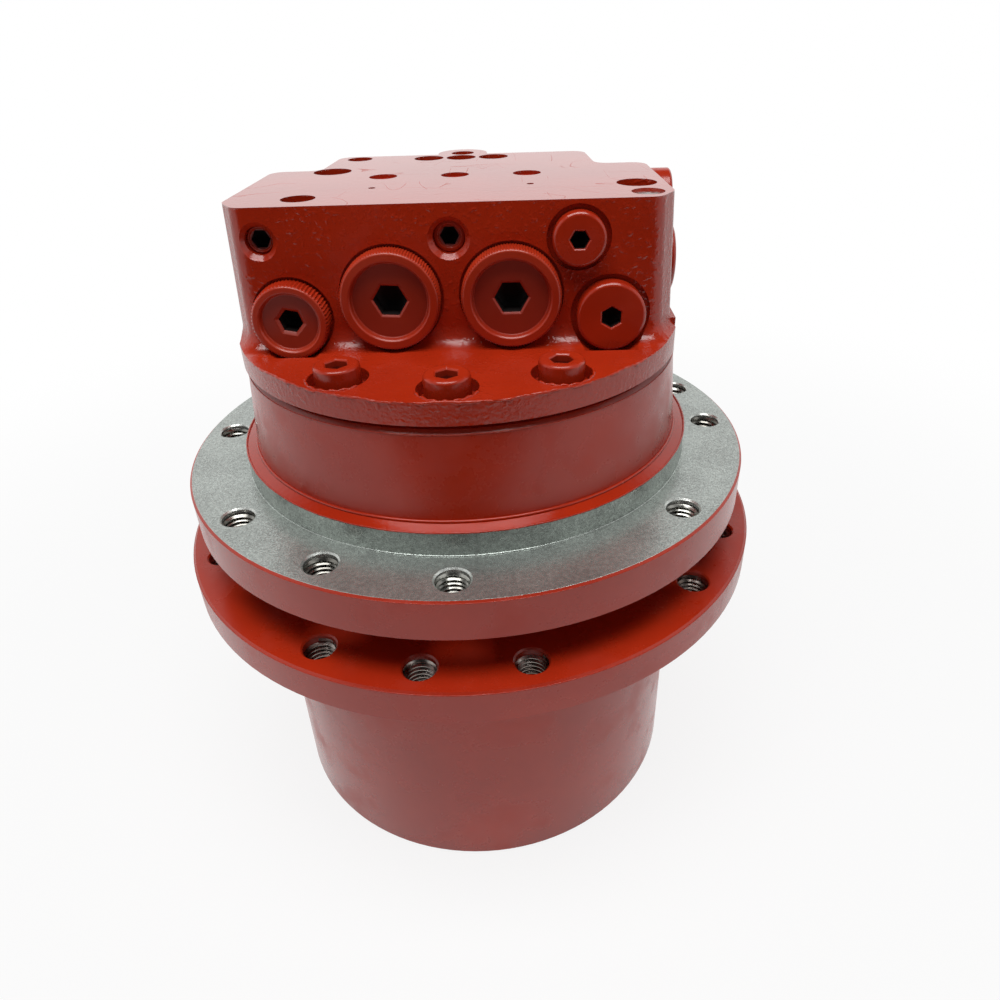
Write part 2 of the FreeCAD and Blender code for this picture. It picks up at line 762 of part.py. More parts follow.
def end_cover():
    """Make the cover that closes the drum's end, its snap ring, seal and two plugs."""
    groove = "ring_outer - cover_seal_groove"
    middle = "(cover_low + cover_top) / 2"
    body = turned("end_cover_blank", [
        ("0", "cover_low"),
        ("ring_outer", "cover_low"),
        ("ring_outer", f"{middle} - cover_seal_groove / 2"),
        (groove, f"{middle} - cover_seal_groove / 2"),
        (groove, f"{middle} + cover_seal_groove / 2"),
        ("ring_outer", f"{middle} + cover_seal_groove / 2"),
        ("ring_outer", "cover_top"),
        ("0", "cover_top"),
    ], node=False)
    tools = []
    placements = []
    for number, side in enumerate((-1, 1), start=1):
        x = f"{side} * cover_plug_place"
        tools.append(drilling(f"cover_hole_{number}", "cover_plug_radius", "cover_thickness", x, "0", "cover_low"))
        tools.append(drilling(f"cover_plug_seat_{number}", "cover_plug_head", "cover_thickness / 2",
                              x, "0", "cover_low"))
        placements.append(Placement(Vector(side * value("cover_plug_place"), 0, 0), Rotation()))
    cut("end_cover", body, tools)
    plug = turned("cover_plug_blank", [
        ("0", "cover_low + cover_plug_inset"),
        ("cover_plug_head - seat_gap", "cover_low + cover_plug_inset"),
        ("cover_plug_head - seat_gap", "cover_low + cover_thickness / 2"),
        ("cover_plug_radius", "cover_low + cover_thickness / 2"),
        ("cover_plug_radius", "cover_top"),
        ("0", "cover_top"),
    ], node=False)
    socket = hexagon("cover_plug_socket", "cover_plug_radius", "cover_thickness / 2", "0", "0", "cover_low")
    spread("cover_plugs", cut("cover_plug_socketed", plug, [socket], node=False), placements)
    ring("cover_seal", groove, "ring_outer", f"{middle} - cover_seal_groove / 2", f"{middle} + cover_seal_groove / 2")
    mouth = value("snap_ring_mouth")
    clip = turned("cover_snap_ring", [
        ("ring_outer + snap_ring_bite - snap_ring_width", "snap_ring_recess"),
        ("ring_outer + snap_ring_bite", "snap_ring_recess"),
        ("ring_outer + snap_ring_bite", "cover_low"),
        ("ring_outer + snap_ring_bite - snap_ring_width", "cover_low"),
    ], angle=360 - mouth)
    clip.Placement = Placement(Vector(0, 0, 0), Rotation(Vector(0, 0, 1), 90 + mouth / 2))


# Main bearings and face seal
def race(name, plain, inside):
    """Make the two races on one side of the ball rows, each with its ball groove."""
    sign = "-" if inside else "+"
    for number, low in enumerate(("lower_race_low", "upper_race_low"), start=1):
        edge = f"ball_circle {sign} (bearing_depth / 2 - race_thickness)"
        blank = ring(f"{name}_blank_{number}", *((plain, edge) if inside else (edge, plain)),
                     low, f"{low} + bearing_width", node=False)
        groove = document.addObject("Part::Torus", f"{name}_groove_{number}")
        bind(groove, "Radius1", "ball_circle")
        bind(groove, "Radius2", "ball_radius + pin_clearance")
        place(groove, "0", "0", f"{low} + bearing_width / 2", Rotation(Vector(0, 0, 1), 45))
        cut(f"{name}_{number}", blank, [groove], node=False)
    document.recompute()
    shapes = [document.getObject(f"{name}_{number}").Shape.copy() for number in (1, 2)]
    solid(name, Part.makeCompound(shapes))


def main_bearings():
    """Make the two angular ball bearings that carry the drum, with their nut."""
    race("bearing_inner_races", "spindle_radius", True)
    race("bearing_outer_races", "race_outer", False)
    count = int(value("ball_count"))
    ball = document.addObject("Part::Sphere", "bearing_ball_blank")
    bind(ball, "Radius", "ball_radius")
    rows = []
    for low in ("lower_race_low", "upper_race_low"):
        rows += around(count, value("ball_circle"), value(f"{low} + bearing_width / 2"))
    spread("bearing_balls", ball, rows)
    cage = ring("bearing_cage_blank", "ball_circle - cage_half_width", "ball_circle + cage_half_width",
                "lower_race_low + bearing_width / 2 + ball_radius + cage_ball_gap",
                "lower_race_top - cage_end_gap", node=False)
    step = value("upper_race_low - lower_race_low")
    spread("bearing_cages", cage, [Placement(), Placement(Vector(0, 0, step), Rotation())])
    ring("bearing_nut", "spindle_radius - nut_thread_depth", "spindle_radius + nut_reach", "hub_low", "nut_top")


def face_seal():
    """Make the two lapped seal rings and the elastic rings that press them together."""
    for name, seat, plane in (("drum", "seal_seat", "seal_plane - shaft_gap"),
                              ("hub", "hub_seal_seat", "seal_plane + shaft_gap")):
        away = "-" if name == "drum" else "+"
        turned(f"{name}_seal_ring", [
            ("seal_ring_bore", plane),
            ("seal_housing - face_gap", plane),
            ("seal_housing - face_gap", f"{plane} {away} seal_ring_face"),
            ("seal_ring_sleeve", f"{plane} {away} seal_ring_face"),
            ("seal_ring_sleeve", f"{plane} {away} seal_ring_length"),
            ("seal_ring_bore", f"{plane} {away} seal_ring_length"),
        ])
        back = "+" if name == "drum" else "-"
        turned(f"{name}_seal_cushion", [
            ("seal_ring_sleeve", f"{plane} {away} seal_ring_face"),
            ("seal_housing", f"{plane} {away} (seal_ring_face + face_gap)"),
            ("seal_housing", f"{seat} {back} face_gap"),
            ("seal_ring_sleeve", f"{seat} {back} 3 * face_gap"),
        ])


# Hub
def hub():
    """Make the fixed hub: spindle, frame flange, pilot, neck and the motor's cavity."""
    seal_top = "hub_low + seal_lip_height + shaft_seal_height"
    body = turned("hub_blank", [
        ("shaft_radius + 2 * face_gap", "hub_low"),
        ("spindle_radius - nut_thread_depth", "hub_low"),
        ("spindle_radius - nut_thread_depth", "nut_top"),
        ("spindle_radius", "nut_top"),
        ("spindle_radius", "upper_race_top"),
        ("spindle_radius + race_thickness", "upper_race_top"),
        ("spindle_radius + race_thickness", "hub_seal_seat"),
        ("seal_housing", "hub_seal_seat"),
        ("seal_housing", "sprocket_top + face_gap"),
        ("seal_housing + seal_skirt", "sprocket_top + face_gap"),
        ("seal_housing + seal_skirt", "frame_low"),
        ("frame_flange_radius - flange_chamfer", "frame_low"),
        ("frame_flange_radius", "frame_low + flange_chamfer"),
        ("frame_flange_radius", "frame_top - flange_chamfer"),
        ("frame_flange_radius - flange_chamfer", "frame_top"),
        ("pilot_radius", "frame_top"),
        ("pilot_radius", "pilot_top"),
        ("neck_base_radius", "lip_top"),
        ("neck_radius", "neck_top - neck_chamfer"),
        ("neck_radius - neck_chamfer", "neck_top"),
        ("spigot_radius + spigot_gap", "neck_top"),
        ("spigot_radius + spigot_gap", "joint_face"),
        ("piston_cavity", "joint_face"),
        ("piston_cavity", "piston_zone"),
        ("plate_cavity", "piston_zone"),
        ("plate_cavity", "brake_shoulder"),
        ("swash_cavity", "brake_shoulder"),
        ("swash_cavity", "cavity_floor"),
        ("bearing_ring", "cavity_floor"),
        ("bearing_ring", seal_top),
        ("shaft_seal_radius", seal_top),
        ("shaft_seal_radius", "hub_low + seal_lip_height"),
        ("shaft_radius + 2 * face_gap", "hub_low + seal_lip_height"),
    ], node=False)
    cut("frame_hub", body, hub_tools())


def hub_tools():
    """Make the drills of the frame flange, planet pins, screws, tilt piston and pivot balls."""
    tools = []
    for number, angle in enumerate(FRAME_HOLE_ANGLES, start=1):
        tools += flange_hole(f"frame_hole_{number}", "frame_hole_circle", angle - 90, "frame_low", "frame_top")
    for number, angle in enumerate(planet_places(), start=1):
        x, y, level = polar("gear_centres", angle, "hub_low")
        tools.append(drilling(f"pin_socket_{number}", "second_pin_radius", "pin_socket_depth", x, y, level))
    for number, angle in enumerate(SCREW_ANGLES, start=1):
        x, y, level = polar("screw_circle", angle, "screw_seat_level - screw_length")
        tools.append(drilling(f"screw_thread_{number}", "screw_radius", "screw_length", x, y, level))
    tools.append(joint_seal_ring("joint_seal_groove", node=False))
    tools.append(drilling("tilt_bore", "tilt_piston_radius + pin_clearance", "hub_floor",
                          "-tilt_piston_arm", "0", "cavity_floor - pin_socket_depth"))
    for number, side in enumerate((-1, 1), start=1):
        socket = document.addObject("Part::Sphere", f"pivot_socket_{number}")
        bind(socket, "Radius", "pivot_radius")
        tools.append(place(socket, "0", f"{side} * pivot_spread", "pivot_level"))
    return tools


# Motor
def shaft_and_bearings():
    """Make the motor shaft, the two roller bearings that hold it and its oil seal."""
    lower_high = "hub_low + seal_lip_height + shaft_seal_height + bearing_ring_height"
    upper_low = "joint_face + face_gap"
    turned("motor_shaft", [
        ("0", "first_low"),
        ("shaft_radius", "first_low"),
        ("shaft_radius", "cavity_floor - bearing_ring_height - face_gap"),
        ("shaft_journal", "cavity_floor - bearing_ring_height - face_gap"),
        ("shaft_journal", f"{upper_low} + bearing_ring_height"),
        ("0", f"{upper_low} + bearing_ring_height"),
    ])
    for name, low in (("lower", f"{lower_high} - bearing_ring_height"), ("upper", upper_low)):
        shaft_bearing(f"{name}_shaft_bearing", low)
    seal_low = "hub_low + seal_lip_height"
    ring("shaft_seal", "shaft_radius + pin_clearance", "shaft_seal_radius", seal_low, f"{seal_low} + shaft_seal_height")


def shaft_bearing(name, low):
    """Make an outer ring with rollers that run on the shaft's journal."""
    inner = "shaft_journal + 2 * roller_radius + 2 * pin_clearance"
    shell = ring(f"{name}_ring", inner, "bearing_ring", low, f"{low} + bearing_ring_height", node=False)
    roller = ring(f"{name}_roller", "0", "roller_radius", "roller_end_gap",
                  "bearing_ring_height - roller_end_gap", node=False)
    document.recompute()
    shapes = [shell.Shape.copy()]
    for where in around(int(value("roller_count")), value("shaft_journal + roller_radius + pin_clearance"),
                        value(low)):
        copy = roller.Shape.copy()
        copy.Placement = where
        shapes.append(copy)
    solid(name, Part.makeCompound(shapes))


def barrel():
    """Make the cylinder barrel with its pistons, shoes, retainer, guide and port plate."""
    body = ring("barrel_blank", "shaft_journal", "barrel_radius", "barrel_low", "barrel_top", node=False)
    count = int(value("cylinder_count"))
    bores = []
    for number in range(count):
        x, y, level = polar("cylinder_circle", 360.0 * number / count, "barrel_low")
        bores.append(drilling(f"cylinder_bore_{number + 1}", "piston_radius + pin_clearance",
                              "barrel_length - cylinder_blind_end", x, y, level))
    cut("cylinder_barrel", body, bores)
    shoe_low = "swash_high + face_gap"
    shoe_top = f"{shoe_low} + shoe_height"
    piston = turned("piston_blank", [
        ("0", f"{shoe_top} + ball_socket_gap"),
        ("piston_tip_radius", f"{shoe_top} + ball_socket_gap"),
        ("piston_tip_radius", f"{shoe_top} + piston_tip"),
        ("piston_radius", f"{shoe_top} + piston_tip + piston_taper"),
        ("piston_radius", f"{shoe_top} + piston_length"),
        ("0", f"{shoe_top} + piston_length"),
    ], node=False)
    rows = around(count, value("cylinder_circle"), 0)
    spread("motor_pistons", piston, rows)
    shoe = turned("shoe_blank", [
        ("0", shoe_low),
        ("shoe_radius", shoe_low),
        ("shoe_radius", f"{shoe_low} + shoe_lip"),
        ("shoe_neck", f"{shoe_low} + shoe_lip"),
        ("shoe_neck", shoe_top),
        ("0", shoe_top),
    ], node=False)
    spread("piston_shoes", shoe, rows)
    plate_low = f"{shoe_low} + shoe_lip + retainer_gap"
    plate = ring("retainer_blank", "retainer_bore", "cylinder_circle + shoe_radius",
                 plate_low, f"{plate_low} + retainer_thickness", node=False)
    holes = []
    for number in range(count):
        x, y, level = polar("cylinder_circle", 360.0 * number / count, plate_low)
        holes.append(drilling(f"retainer_hole_{number + 1}", "shoe_neck + 2 * retainer_gap",
                              "retainer_thickness", x, y, level))
    cut("shoe_retainer", plate, holes)
    turned("retainer_guide", [
        ("shaft_journal", plate_low),
        ("retainer_bore - retainer_gap", plate_low),
        ("retainer_bore - retainer_gap", f"{plate_low} + retainer_thickness"),
        ("retainer_bore + guide_step", f"{plate_low} + retainer_thickness"),
        ("retainer_bore + guide_step", "barrel_low"),
        ("shaft_journal", "barrel_low"),
    ])
    ports = ring("port_plate_blank", "shaft_journal + face_gap", "barrel_radius", "barrel_top + pin_clearance",
                 "joint_face", node=False)
    slots = [kidney(f"port_slot_{number}", side) for number, side in enumerate((0, 180), start=1)]
    cut("port_plate", ports, slots)


def kidney(name, middle):
    """Make the form of one curved port slot of the port plate."""
    slot = turned(name, [
        ("cylinder_circle - port_slot_half_width", "barrel_top"),
        ("cylinder_circle + port_slot_half_width", "barrel_top"),
        ("cylinder_circle + port_slot_half_width", "joint_face"),
        ("cylinder_circle - port_slot_half_width", "joint_face"),
    ], node=False, angle=130)
    slot.Placement = Placement(Vector(0, 0, 0), Rotation(Vector(0, 0, 1), middle - 65))
    return slot


def swash_plate():
    """Make the tilted swash plate, its two pivot balls and the piston that changes its angle."""
    tilt = Rotation(Vector(0, 1, 0), -value("swash_angle"))
    disc = drilling("swash_disc", "swash_radius", "swash_thickness", "0", "0", "pivot_embed")
    hole = drilling("swash_hole", "swash_bore", "swash_thickness", "0", "0", "pivot_embed")
    tools = [hole]
    for number, side in enumerate((-1, 1), start=1):
        socket = document.addObject("Part::Sphere", f"swash_socket_{number}")
        bind(socket, "Radius", "pivot_radius + pin_clearance")
        tools.append(place(socket, "0", f"{side} * pivot_spread", "0"))
    plate = cut("swash_plate", disc, tools)
    place(plate, "0", "0", "pivot_level", tilt)
    ball = document.addObject("Part::Sphere", "pivot_ball_blank")
    bind(ball, "Radius", "pivot_radius")
    spread("swash_pivot_balls", ball, [Placement(Vector(0, side * value("pivot_spread"), value("pivot_level")),
                                                 Rotation()) for side in (-1, 1)])
    ring("tilt_piston", "0", "tilt_piston_radius", "cavity_floor - pin_socket_depth + 1", "tilt_top")
    place(document.getObject("tilt_piston"), "-tilt_piston_arm", "0", "0")


def brake():
    """Make the parking brake: plates on the barrel, plates in the hub, piston and disc spring."""
    pitch = value("brake_plate + brake_plate_gap")
    low = value("brake_shoulder")
    friction = ring("friction_blank", "barrel_radius", "friction_outer", "0", "brake_plate", node=False)
    steel = ring("steel_blank", "steel_inner", "plate_cavity", "0", "brake_plate", node=False)
    pairs = int(value("brake_plate_pairs"))
    spread("brake_steel_plates", steel,
           [Placement(Vector(0, 0, low + 2 * pitch * number), Rotation()) for number in range(pairs)])
    spread("brake_friction_plates", friction,
           [Placement(Vector(0, 0, low + pitch * (2 * number + 1)), Rotation()) for number in range(pairs)])
    stack = "brake_shoulder + 2 * brake_plate_pairs * (brake_plate + brake_plate_gap)"
    top = f"{stack} + brake_piston_height"
    turned("brake_piston", [
        ("steel_inner + piston_bore_gap", f"{stack} + brake_piston_lift"),
        ("plate_cavity - shaft_gap", f"{stack} + brake_piston_lift"),
        ("plate_cavity - shaft_gap", "piston_zone + piston_step_room"),
        ("piston_cavity - shaft_gap", "piston_zone + piston_step_room"),
        ("piston_cavity - shaft_gap", top),
        ("steel_inner + piston_bore_gap", top),
    ])
    turned("brake_disc_spring", [
        ("steel_inner + spring_bore_gap", "joint_face - brake_spring_thickness"),
        ("piston_cavity - spring_rim_gap", f"{top} + face_gap / 10"),
        ("piston_cavity - spring_rim_gap", f"{top} + brake_spring_thickness"),
        ("steel_inner + spring_bore_gap", "joint_face"),
    ])


# Valve block
def valve_block():
    """Make the cast valve block: spigot, round base with a cast ledge, block and all its drillings."""
    body = turned("valve_block_blank", [
        ("0", "joint_face"),
        ("spigot_radius", "joint_face"),
        ("spigot_radius", "base_low"),
        ("base_radius + screw_pocket_radius", "base_low"),
        ("base_radius + screw_pocket_radius", "ledge_top"),
        ("0", "ledge_top"),
    ], node=False)
    foot_line = block_outline(body, "block_foot_outline", "side_draft", "ledge_top")
    top_line = block_outline(body, "block_top_outline", "0", "block_top")
    rise = body.newObject("PartDesign::AdditiveLoft", "block_rise")
    rise.Profile = foot_line
    rise.Sections = [top_line]
    rise.Ruled = True
    document.recompute()
    corners = body.newObject("PartDesign::Fillet", "block_corners")
    corners.Base = (rise, rising_edges(rise.Shape, value("ledge_top"), value("side_draft")))
    bind(corners, "Radius", "block_corner")
    document.recompute()
    foot = body.newObject("PartDesign::Fillet", "block_foot")
    foot.Base = (corners, foot_edges(corners.Shape, value("ledge_top"), value("corner_set_back")))
    bind(foot, "Radius", "front_fillet")
    rim = outline(body, "rim_profile", "XZ_Plane", [
        ("base_radius", "base_low - 1"),
        ("base_radius + 3 * screw_pocket_radius", "base_low - 1"),
        ("base_radius + 3 * screw_pocket_radius", "block_top + 1"),
        ("base_radius", "block_top + 1"),
    ])
    trim = body.newObject("PartDesign::Groove", "rim_trim")
    trim.Profile = rim
    trim.ReferenceAxis = (rim, ["V_Axis"])
    trim.Angle = 360
    body.Tip = trim
    lobe = drilling("tail_lobe", "tail_lobe_radius", "block_height", "0", "tail_lobe_place", "ledge_top")
    rib = box("side_rib", "side_rib_width", "side_rib_length", "base_thickness + side_rib_height",
              "rib_half - side_rib_width", "-corner_set_back", "base_low")
    whole = joined("valve_block_cast", [body, lobe, rib])
    cut("valve_block", whole, base_sides() + block_tools())


def block_outline(body, name, draft, level):
    """Draw the block's outline at one height, its sides moved out by a draft."""
    half = [
        (f"block_front_half + {draft}", "-block_front"),
        (f"block_half + {draft}", "-corner_set_back"),
        (f"shoulder_half + {draft}", "shoulder_place"),
        ("tail_root_half", "shoulder_place"),
        ("tail_end_half", "tail_place"),
    ]
    mirrored = [(f"-({across})", back) for across, back in reversed(half)]
    return outline(body, name, "XY_Plane", half + mirrored, lift=level)


def base_sides():
    """Make the two forms that cut the round base flat at the block's sides."""
    width = "base_radius - block_half"
    cuts = []
    for name, place_x in (("left", f"-base_half - ({width})"), ("right", "rib_half")):
        cuts.append(box(f"base_side_{name}", width, "2 * base_radius", "block_height",
                        place_x, "-base_radius", "base_low"))
    return cuts


def rising_edges(shape, low, lean):
    """Find the edges of the block that rise from a height, upright or leaning with the draft."""
    names = []
    for number, edge in enumerate(shape.Edges, start=1):
        bounds = edge.BoundBox
        upright = max(bounds.XLength, bounds.YLength) < lean + NEAR
        if bounds.ZLength > 1 and upright and bounds.ZMin > low - NEAR:
            names.append(f"Edge{number}")
    return names


def foot_edges(shape, level, limit):
    """Find the edges along the block's front foot, where it rises from the ledge."""
    names = []
    for number, edge in enumerate(shape.Edges, start=1):
        bounds = edge.BoundBox
        flat = bounds.ZLength < NEAR and abs(bounds.ZMin - level) < NEAR
        if flat and bounds.YMax < -limit + NEAR and math.hypot(bounds.XMax, bounds.YMin) < value("base_radius"):
            names.append(f"Edge{number}")
    return names


def block_tools():
    """Make every drill, spotface and pocket of the valve block."""
    tools = [drilling("upper_bearing_bore", "bearing_ring", "bearing_ring_height + 2 * face_gap",
                      "0", "0", "joint_face")]
    tools += screw_tools() + front_tools() + top_tools() + side_tools()
    return tools


def screw_tools():
    """Make the through holes and seats of the screws that hold the block to the hub."""
    tools = []
    for number, angle in enumerate(SCREW_ANGLES, start=1):
        x, y, level = polar("screw_circle", angle, "joint_face")
        tools.append(drilling(f"screw_hole_{number}", "screw_radius + 2 * pin_clearance",
                              "ledge_top - joint_face", x, y, level))
        tools.append(drilling(f"screw_pocket_{number}", "screw_pocket_radius",
                              "screw_head_height + screw_seat", x, y, "screw_seat_level"))
    return tools


def front_hole(name, radius, side, level, head_radius):
    """Make the spotface and the port bore behind it, drilled into the front face."""
    face = drilling(name + "_spotface", f"{head_radius} + spotface_margin", "spotface_reach",
                    side, "spotface_depth - block_front", level, OUT_FRONT)
    bore = drilling(name + "_bore", radius, "port_depth", side, "port_depth - block_front", level, OUT_FRONT)
    return [face, bore]


def front_tools():
    """Make the holes of the front face for its six plugs and two jets."""
    tools = front_hole("left_pressure_port", "large_port_radius", "-large_plug_side", "large_plug_level",
                       "large_plug_radius")
    tools += front_hole("right_pressure_port", "large_port_radius", "large_plug_side", "large_plug_level",
                        "large_plug_radius")
    tools += front_hole("drain_port", "drain_port_radius", "-drain_plug_side", "drain_plug_level",
                        "drain_plug_radius")
    tools += front_hole("upper_port", "upper_port_radius", "upper_plug_side", "upper_plug_level",
                        "upper_plug_radius + spotface_margin")
    tools += front_hole("lower_port", "lower_port_radius", "lower_plug_side", "lower_plug_level",
                        "lower_plug_radius + spotface_margin")
    for name, side in (("left", "-left_jet_side"), ("middle", "middle_jet_side")):
        radius = f"{name}_jet_radius"
        level = f"{name}_jet_level"
        tools.append(drilling(f"{name}_jet_hole", radius, "jet_depth", side, "jet_depth - block_front",
                              level, OUT_FRONT))
        tools.append(countersink(f"{name}_jet_sink", radius, "jet_sink", side, "-block_front", level, OUT_FRONT))
    return tools


def top_hole(name, radius, depth, x, y):
    """Make one hole drilled down into the top face."""
    return drilling(name, radius, f"{depth} + 1", x, y, f"block_top - {depth}")


def top_tools():
    """Make the holes of the top face."""
    tools = []
    for number, side in enumerate((-1, 0, 1), start=1):
        tools.append(top_hole(f"gallery_hole_{number}", "gallery_plug_radius", "gallery_depth",
                              f"{side} * gallery_plug_pitch", "gallery_plug_place"))
        tools.append(top_hole(f"tail_hole_{number}", "tail_hole_radius", "tail_hole_depth",
                              f"{side} * tail_hole_pitch", "tail_hole_place"))
    for name, side in (("left", "-1"), ("right", "1")):
        tools.append(top_hole(f"{name}_dowel_hole", "dowel_hole_radius", "dowel_hole_depth",
                              f"{side} * dowel_hole_side", "dowel_hole_place"))
    for name in ("left_deep_hole", "right_deep_hole", "left_front_hole", "tail_left_hole"):
        tools.append(top_hole(name, f"{name}_radius", f"{name}_depth", f"{name}_side", f"{name}_place"))
    tools.append(top_hole("lobe_hole", "lobe_hole_radius", "lobe_hole_depth", "0", "tail_lobe_place"))
    tools.append(top_hole("bare_plug_hole", "bare_plug_radius", "bare_plug_depth",
                          "bare_plug_side", "-bare_plug_place"))
    return tools


def side_tools():
    """Make the bores of the two spools and the seats of their caps."""
    bore_half = "cap_reach - spool_cap_screw + face_gap / 2"
    tools = [drilling("spool_bore", "spool_radius + pin_clearance", f"2 * ({bore_half})",
                      f"-({bore_half})", "spool_place", "spool_level", OUT_RIGHT)]
    for name, turn, sign in (("right", OUT_RIGHT, ""), ("left", OUT_LEFT, "-")):
        tools.append(drilling(f"{name}_cap_bore", "spool_radius + face_gap", "cap_reach",
                              f"{sign}(cap_reach - spool_cap_screw)", "spool_place", "spool_level", turn))
        tools.append(drilling(f"{name}_cap_spotface", "spool_cap_radius + spotface_margin", "spotface_reach",
                              f"{sign}(cap_reach - spotface_depth)", "spool_place", "spool_level", turn))
    tools.append(drilling("speed_bore", "speed_radius + pin_clearance", "cap_reach",
                          "speed_low - face_gap", "speed_place", "speed_level", OUT_RIGHT))
    tools.append(drilling("speed_cap_bore", "speed_radius + face_gap", "cap_reach",
                          "cap_reach - speed_cap_screw", "speed_place", "speed_level", OUT_RIGHT))
    tools.append(drilling("speed_cap_spotface", "speed_cap_radius + spotface_margin", "spotface_reach",
                          "cap_reach - 2 * spotface_depth", "speed_place", "speed_level", OUT_RIGHT))
    return tools


# Plugs, screws and spools
def plug(name, head, height, shank, depth, flats, socket, dish, node=False):
    """Make a socket plug standing on its head's seat: head, shank, a shallow dish and a hexagon."""
    rim = f"{head} - {dish[0]}"
    blank = turned(name + "_blank", [
        ("0", f"-({depth})"),
        (shank, f"-({depth})"),
        (shank, "0"),
        (head, "0"),
        (head, f"{height} - flange_chamfer"),
        (f"{head} - flange_chamfer", height),
        (rim, height),
        (f"{rim} - dish_taper", f"{height} - {dish[1]}"),
        ("0", f"{height} - {dish[1]}"),
    ], node=False)
    key = hexagon(name + "_key", flats, f"({socket}) + 1", "0", "0", f"{height} - {dish[1]} - ({socket})")
    return cut(name, blank, [key], node=node)


def front_place(side, level):
    """Give the placement of a plug on its spotface in the front face."""
    return Placement(Vector(value(side), value("spotface_depth - block_front"), value(level)), OUT_FRONT)


def front_plugs():
    """Make the transport plugs of the ports, the smooth plugs, the jets and the block's screws."""
    large = plug("large_plug", "large_plug_radius", "large_plug_height", "large_port_radius",
                 "port_depth - thread_end_gap", "large_plug_socket", "socket_depth",
                 ("large_plug_rim", "large_plug_dish"))
    spread("pressure_port_plugs", large, [front_place("-large_plug_side", "large_plug_level"),
                                          front_place("large_plug_side", "large_plug_level")])
    drain = plug("drain_plug", "drain_plug_radius", "large_plug_height", "drain_port_radius",
                 "port_depth - thread_end_gap", "drain_plug_socket", "socket_depth",
                 ("drain_plug_rim", "large_plug_dish"))
    spread("drain_port_plug", drain, [front_place("-drain_plug_side", "drain_plug_level")])
    upper = plug("upper_plug", "upper_plug_radius", "upper_plug_height", "upper_port_radius",
                 "port_depth - thread_end_gap", "upper_plug_socket", "socket_depth", ("plug_rim", "plug_face_gap"))
    spread("gauge_port_plug", upper, [front_place("upper_plug_side", "upper_plug_level")])
    lower = plug("lower_plug", "lower_plug_radius", "lower_plug_height", "lower_port_radius",
                 "port_depth - thread_end_gap", "lower_plug_socket", "lower_socket_depth", ("plug_rim", "plug_face_gap"))
    spread("speed_port_plug", lower, [front_place("lower_plug_side", "lower_plug_level")])
    front_jets()


def front_jets():
    """Make the two hexagon socket jets that sit deep in their countersunk holes."""
    document.recompute()
    screws = []
    for name, side in (("left", "-left_jet_side"), ("middle", "middle_jet_side")):
        jet = ring(f"{name}_jet_blank", "0", f"{name}_jet_radius", "0", "jet_screw_length", node=False)
        key = hexagon(f"{name}_jet_key", f"{name}_jet_radius", "jet_screw_length / 2", "0", "0",
                      "jet_screw_length / 2")
        screw = cut(f"{name}_jet", jet, [key], node=False)
        inner = "jet_screw_depth + jet_screw_length - block_front"
        place(screw, side, inner, f"{name}_jet_level", OUT_FRONT)
        screws.append(screw)
    document.recompute()
    solid("jet_screws", Part.makeCompound([screw.Shape.copy() for screw in screws]))


def block_screws():
    """Make the socket head screws that hold the valve block to the hub."""
    screw = plug("block_screw", "screw_head_radius", "screw_head_height", "screw_radius", "screw_length",
                 "screw_socket", "screw_head_height / 2", ("plug_rim", "plug_face_gap"))
    places = []
    for angle in SCREW_ANGLES:
        turn = Rotation(Vector(0, 0, 1), angle)
        places.append(Placement(turn.multVec(Vector(value("screw_circle"), 0, value("screw_seat_level"))), turn))
    spread("block_screws", screw, places)
    joint_seal_ring("joint_seal")


def joint_seal_ring(name, node=True):
    """Make the seal between the hub and the valve block, or the groove that holds it."""
    inner = "piston_cavity + joint_seal_inset"
    return ring(name, inner, f"{inner} + joint_seal_width", "joint_face - joint_seal_depth", "joint_face", node)


def top_plugs():
    """Make the recessed gallery plugs and the bare metal plug of the top face."""
    gallery = ring("gallery_plug", "0", "gallery_plug_radius", "block_top - gallery_depth",
                   "block_top - gallery_plug_recess", node=False)
    places = [Placement(Vector(side * value("gallery_plug_pitch"), value("gallery_plug_place"), 0), Rotation())
              for side in (-1, 0, 1)]
    spread("gallery_plugs", gallery, places)
    ring("bare_gallery_plug", "0", "bare_plug_radius", "block_top - bare_plug_depth", "block_top - 1")
    place(document.getObject("bare_gallery_plug"), "bare_plug_side", "-bare_plug_place", "0")


def spool(name, radius, length, waist, x, y, z):
    """Make a control spool lying along X with lands and a waist between them."""
    body = turned(name, [
        ("0", "0"),
        (f"{radius} - spool_edge", "0"),
        (radius, "spool_edge"),
        (radius, f"{length} / 4"),
        (waist, f"{length} / 4"),
        (waist, f"{length} * 0.4"),
        (radius, f"{length} * 0.4"),
        (radius, f"{length} * 0.6"),
        (waist, f"{length} * 0.6"),
        (waist, f"{length} * 3 / 4"),
        (radius, f"{length} * 3 / 4"),
        (radius, f"{length} - spool_edge"),
        (f"{radius} - spool_edge", length),
        ("0", length),
    ])
    place(body, x, y, z, OUT_RIGHT)


def coil(radius, low, high):
    """Make a coil spring along X between two seats, from short straight runs of wire."""
    wire = value("spool_spring_wire")
    runs = 12
    last = int(runs * value("spool_spring_turns"))
    start = value(low) + wire
    step = (value(high) - wire - start) / last
    points = []
    for index in range(last + 1):
        angle = 2 * math.pi * index / runs
        points.append(Vector(start + step * index, value(radius) * math.cos(angle), value(radius) * math.sin(angle)))
    path = Part.makePolygon(points)
    section = Part.Wire(Part.makeCircle(wire, points[0], points[1] - points[0]))
    return path.makePipeShell([section], True, True, 1)


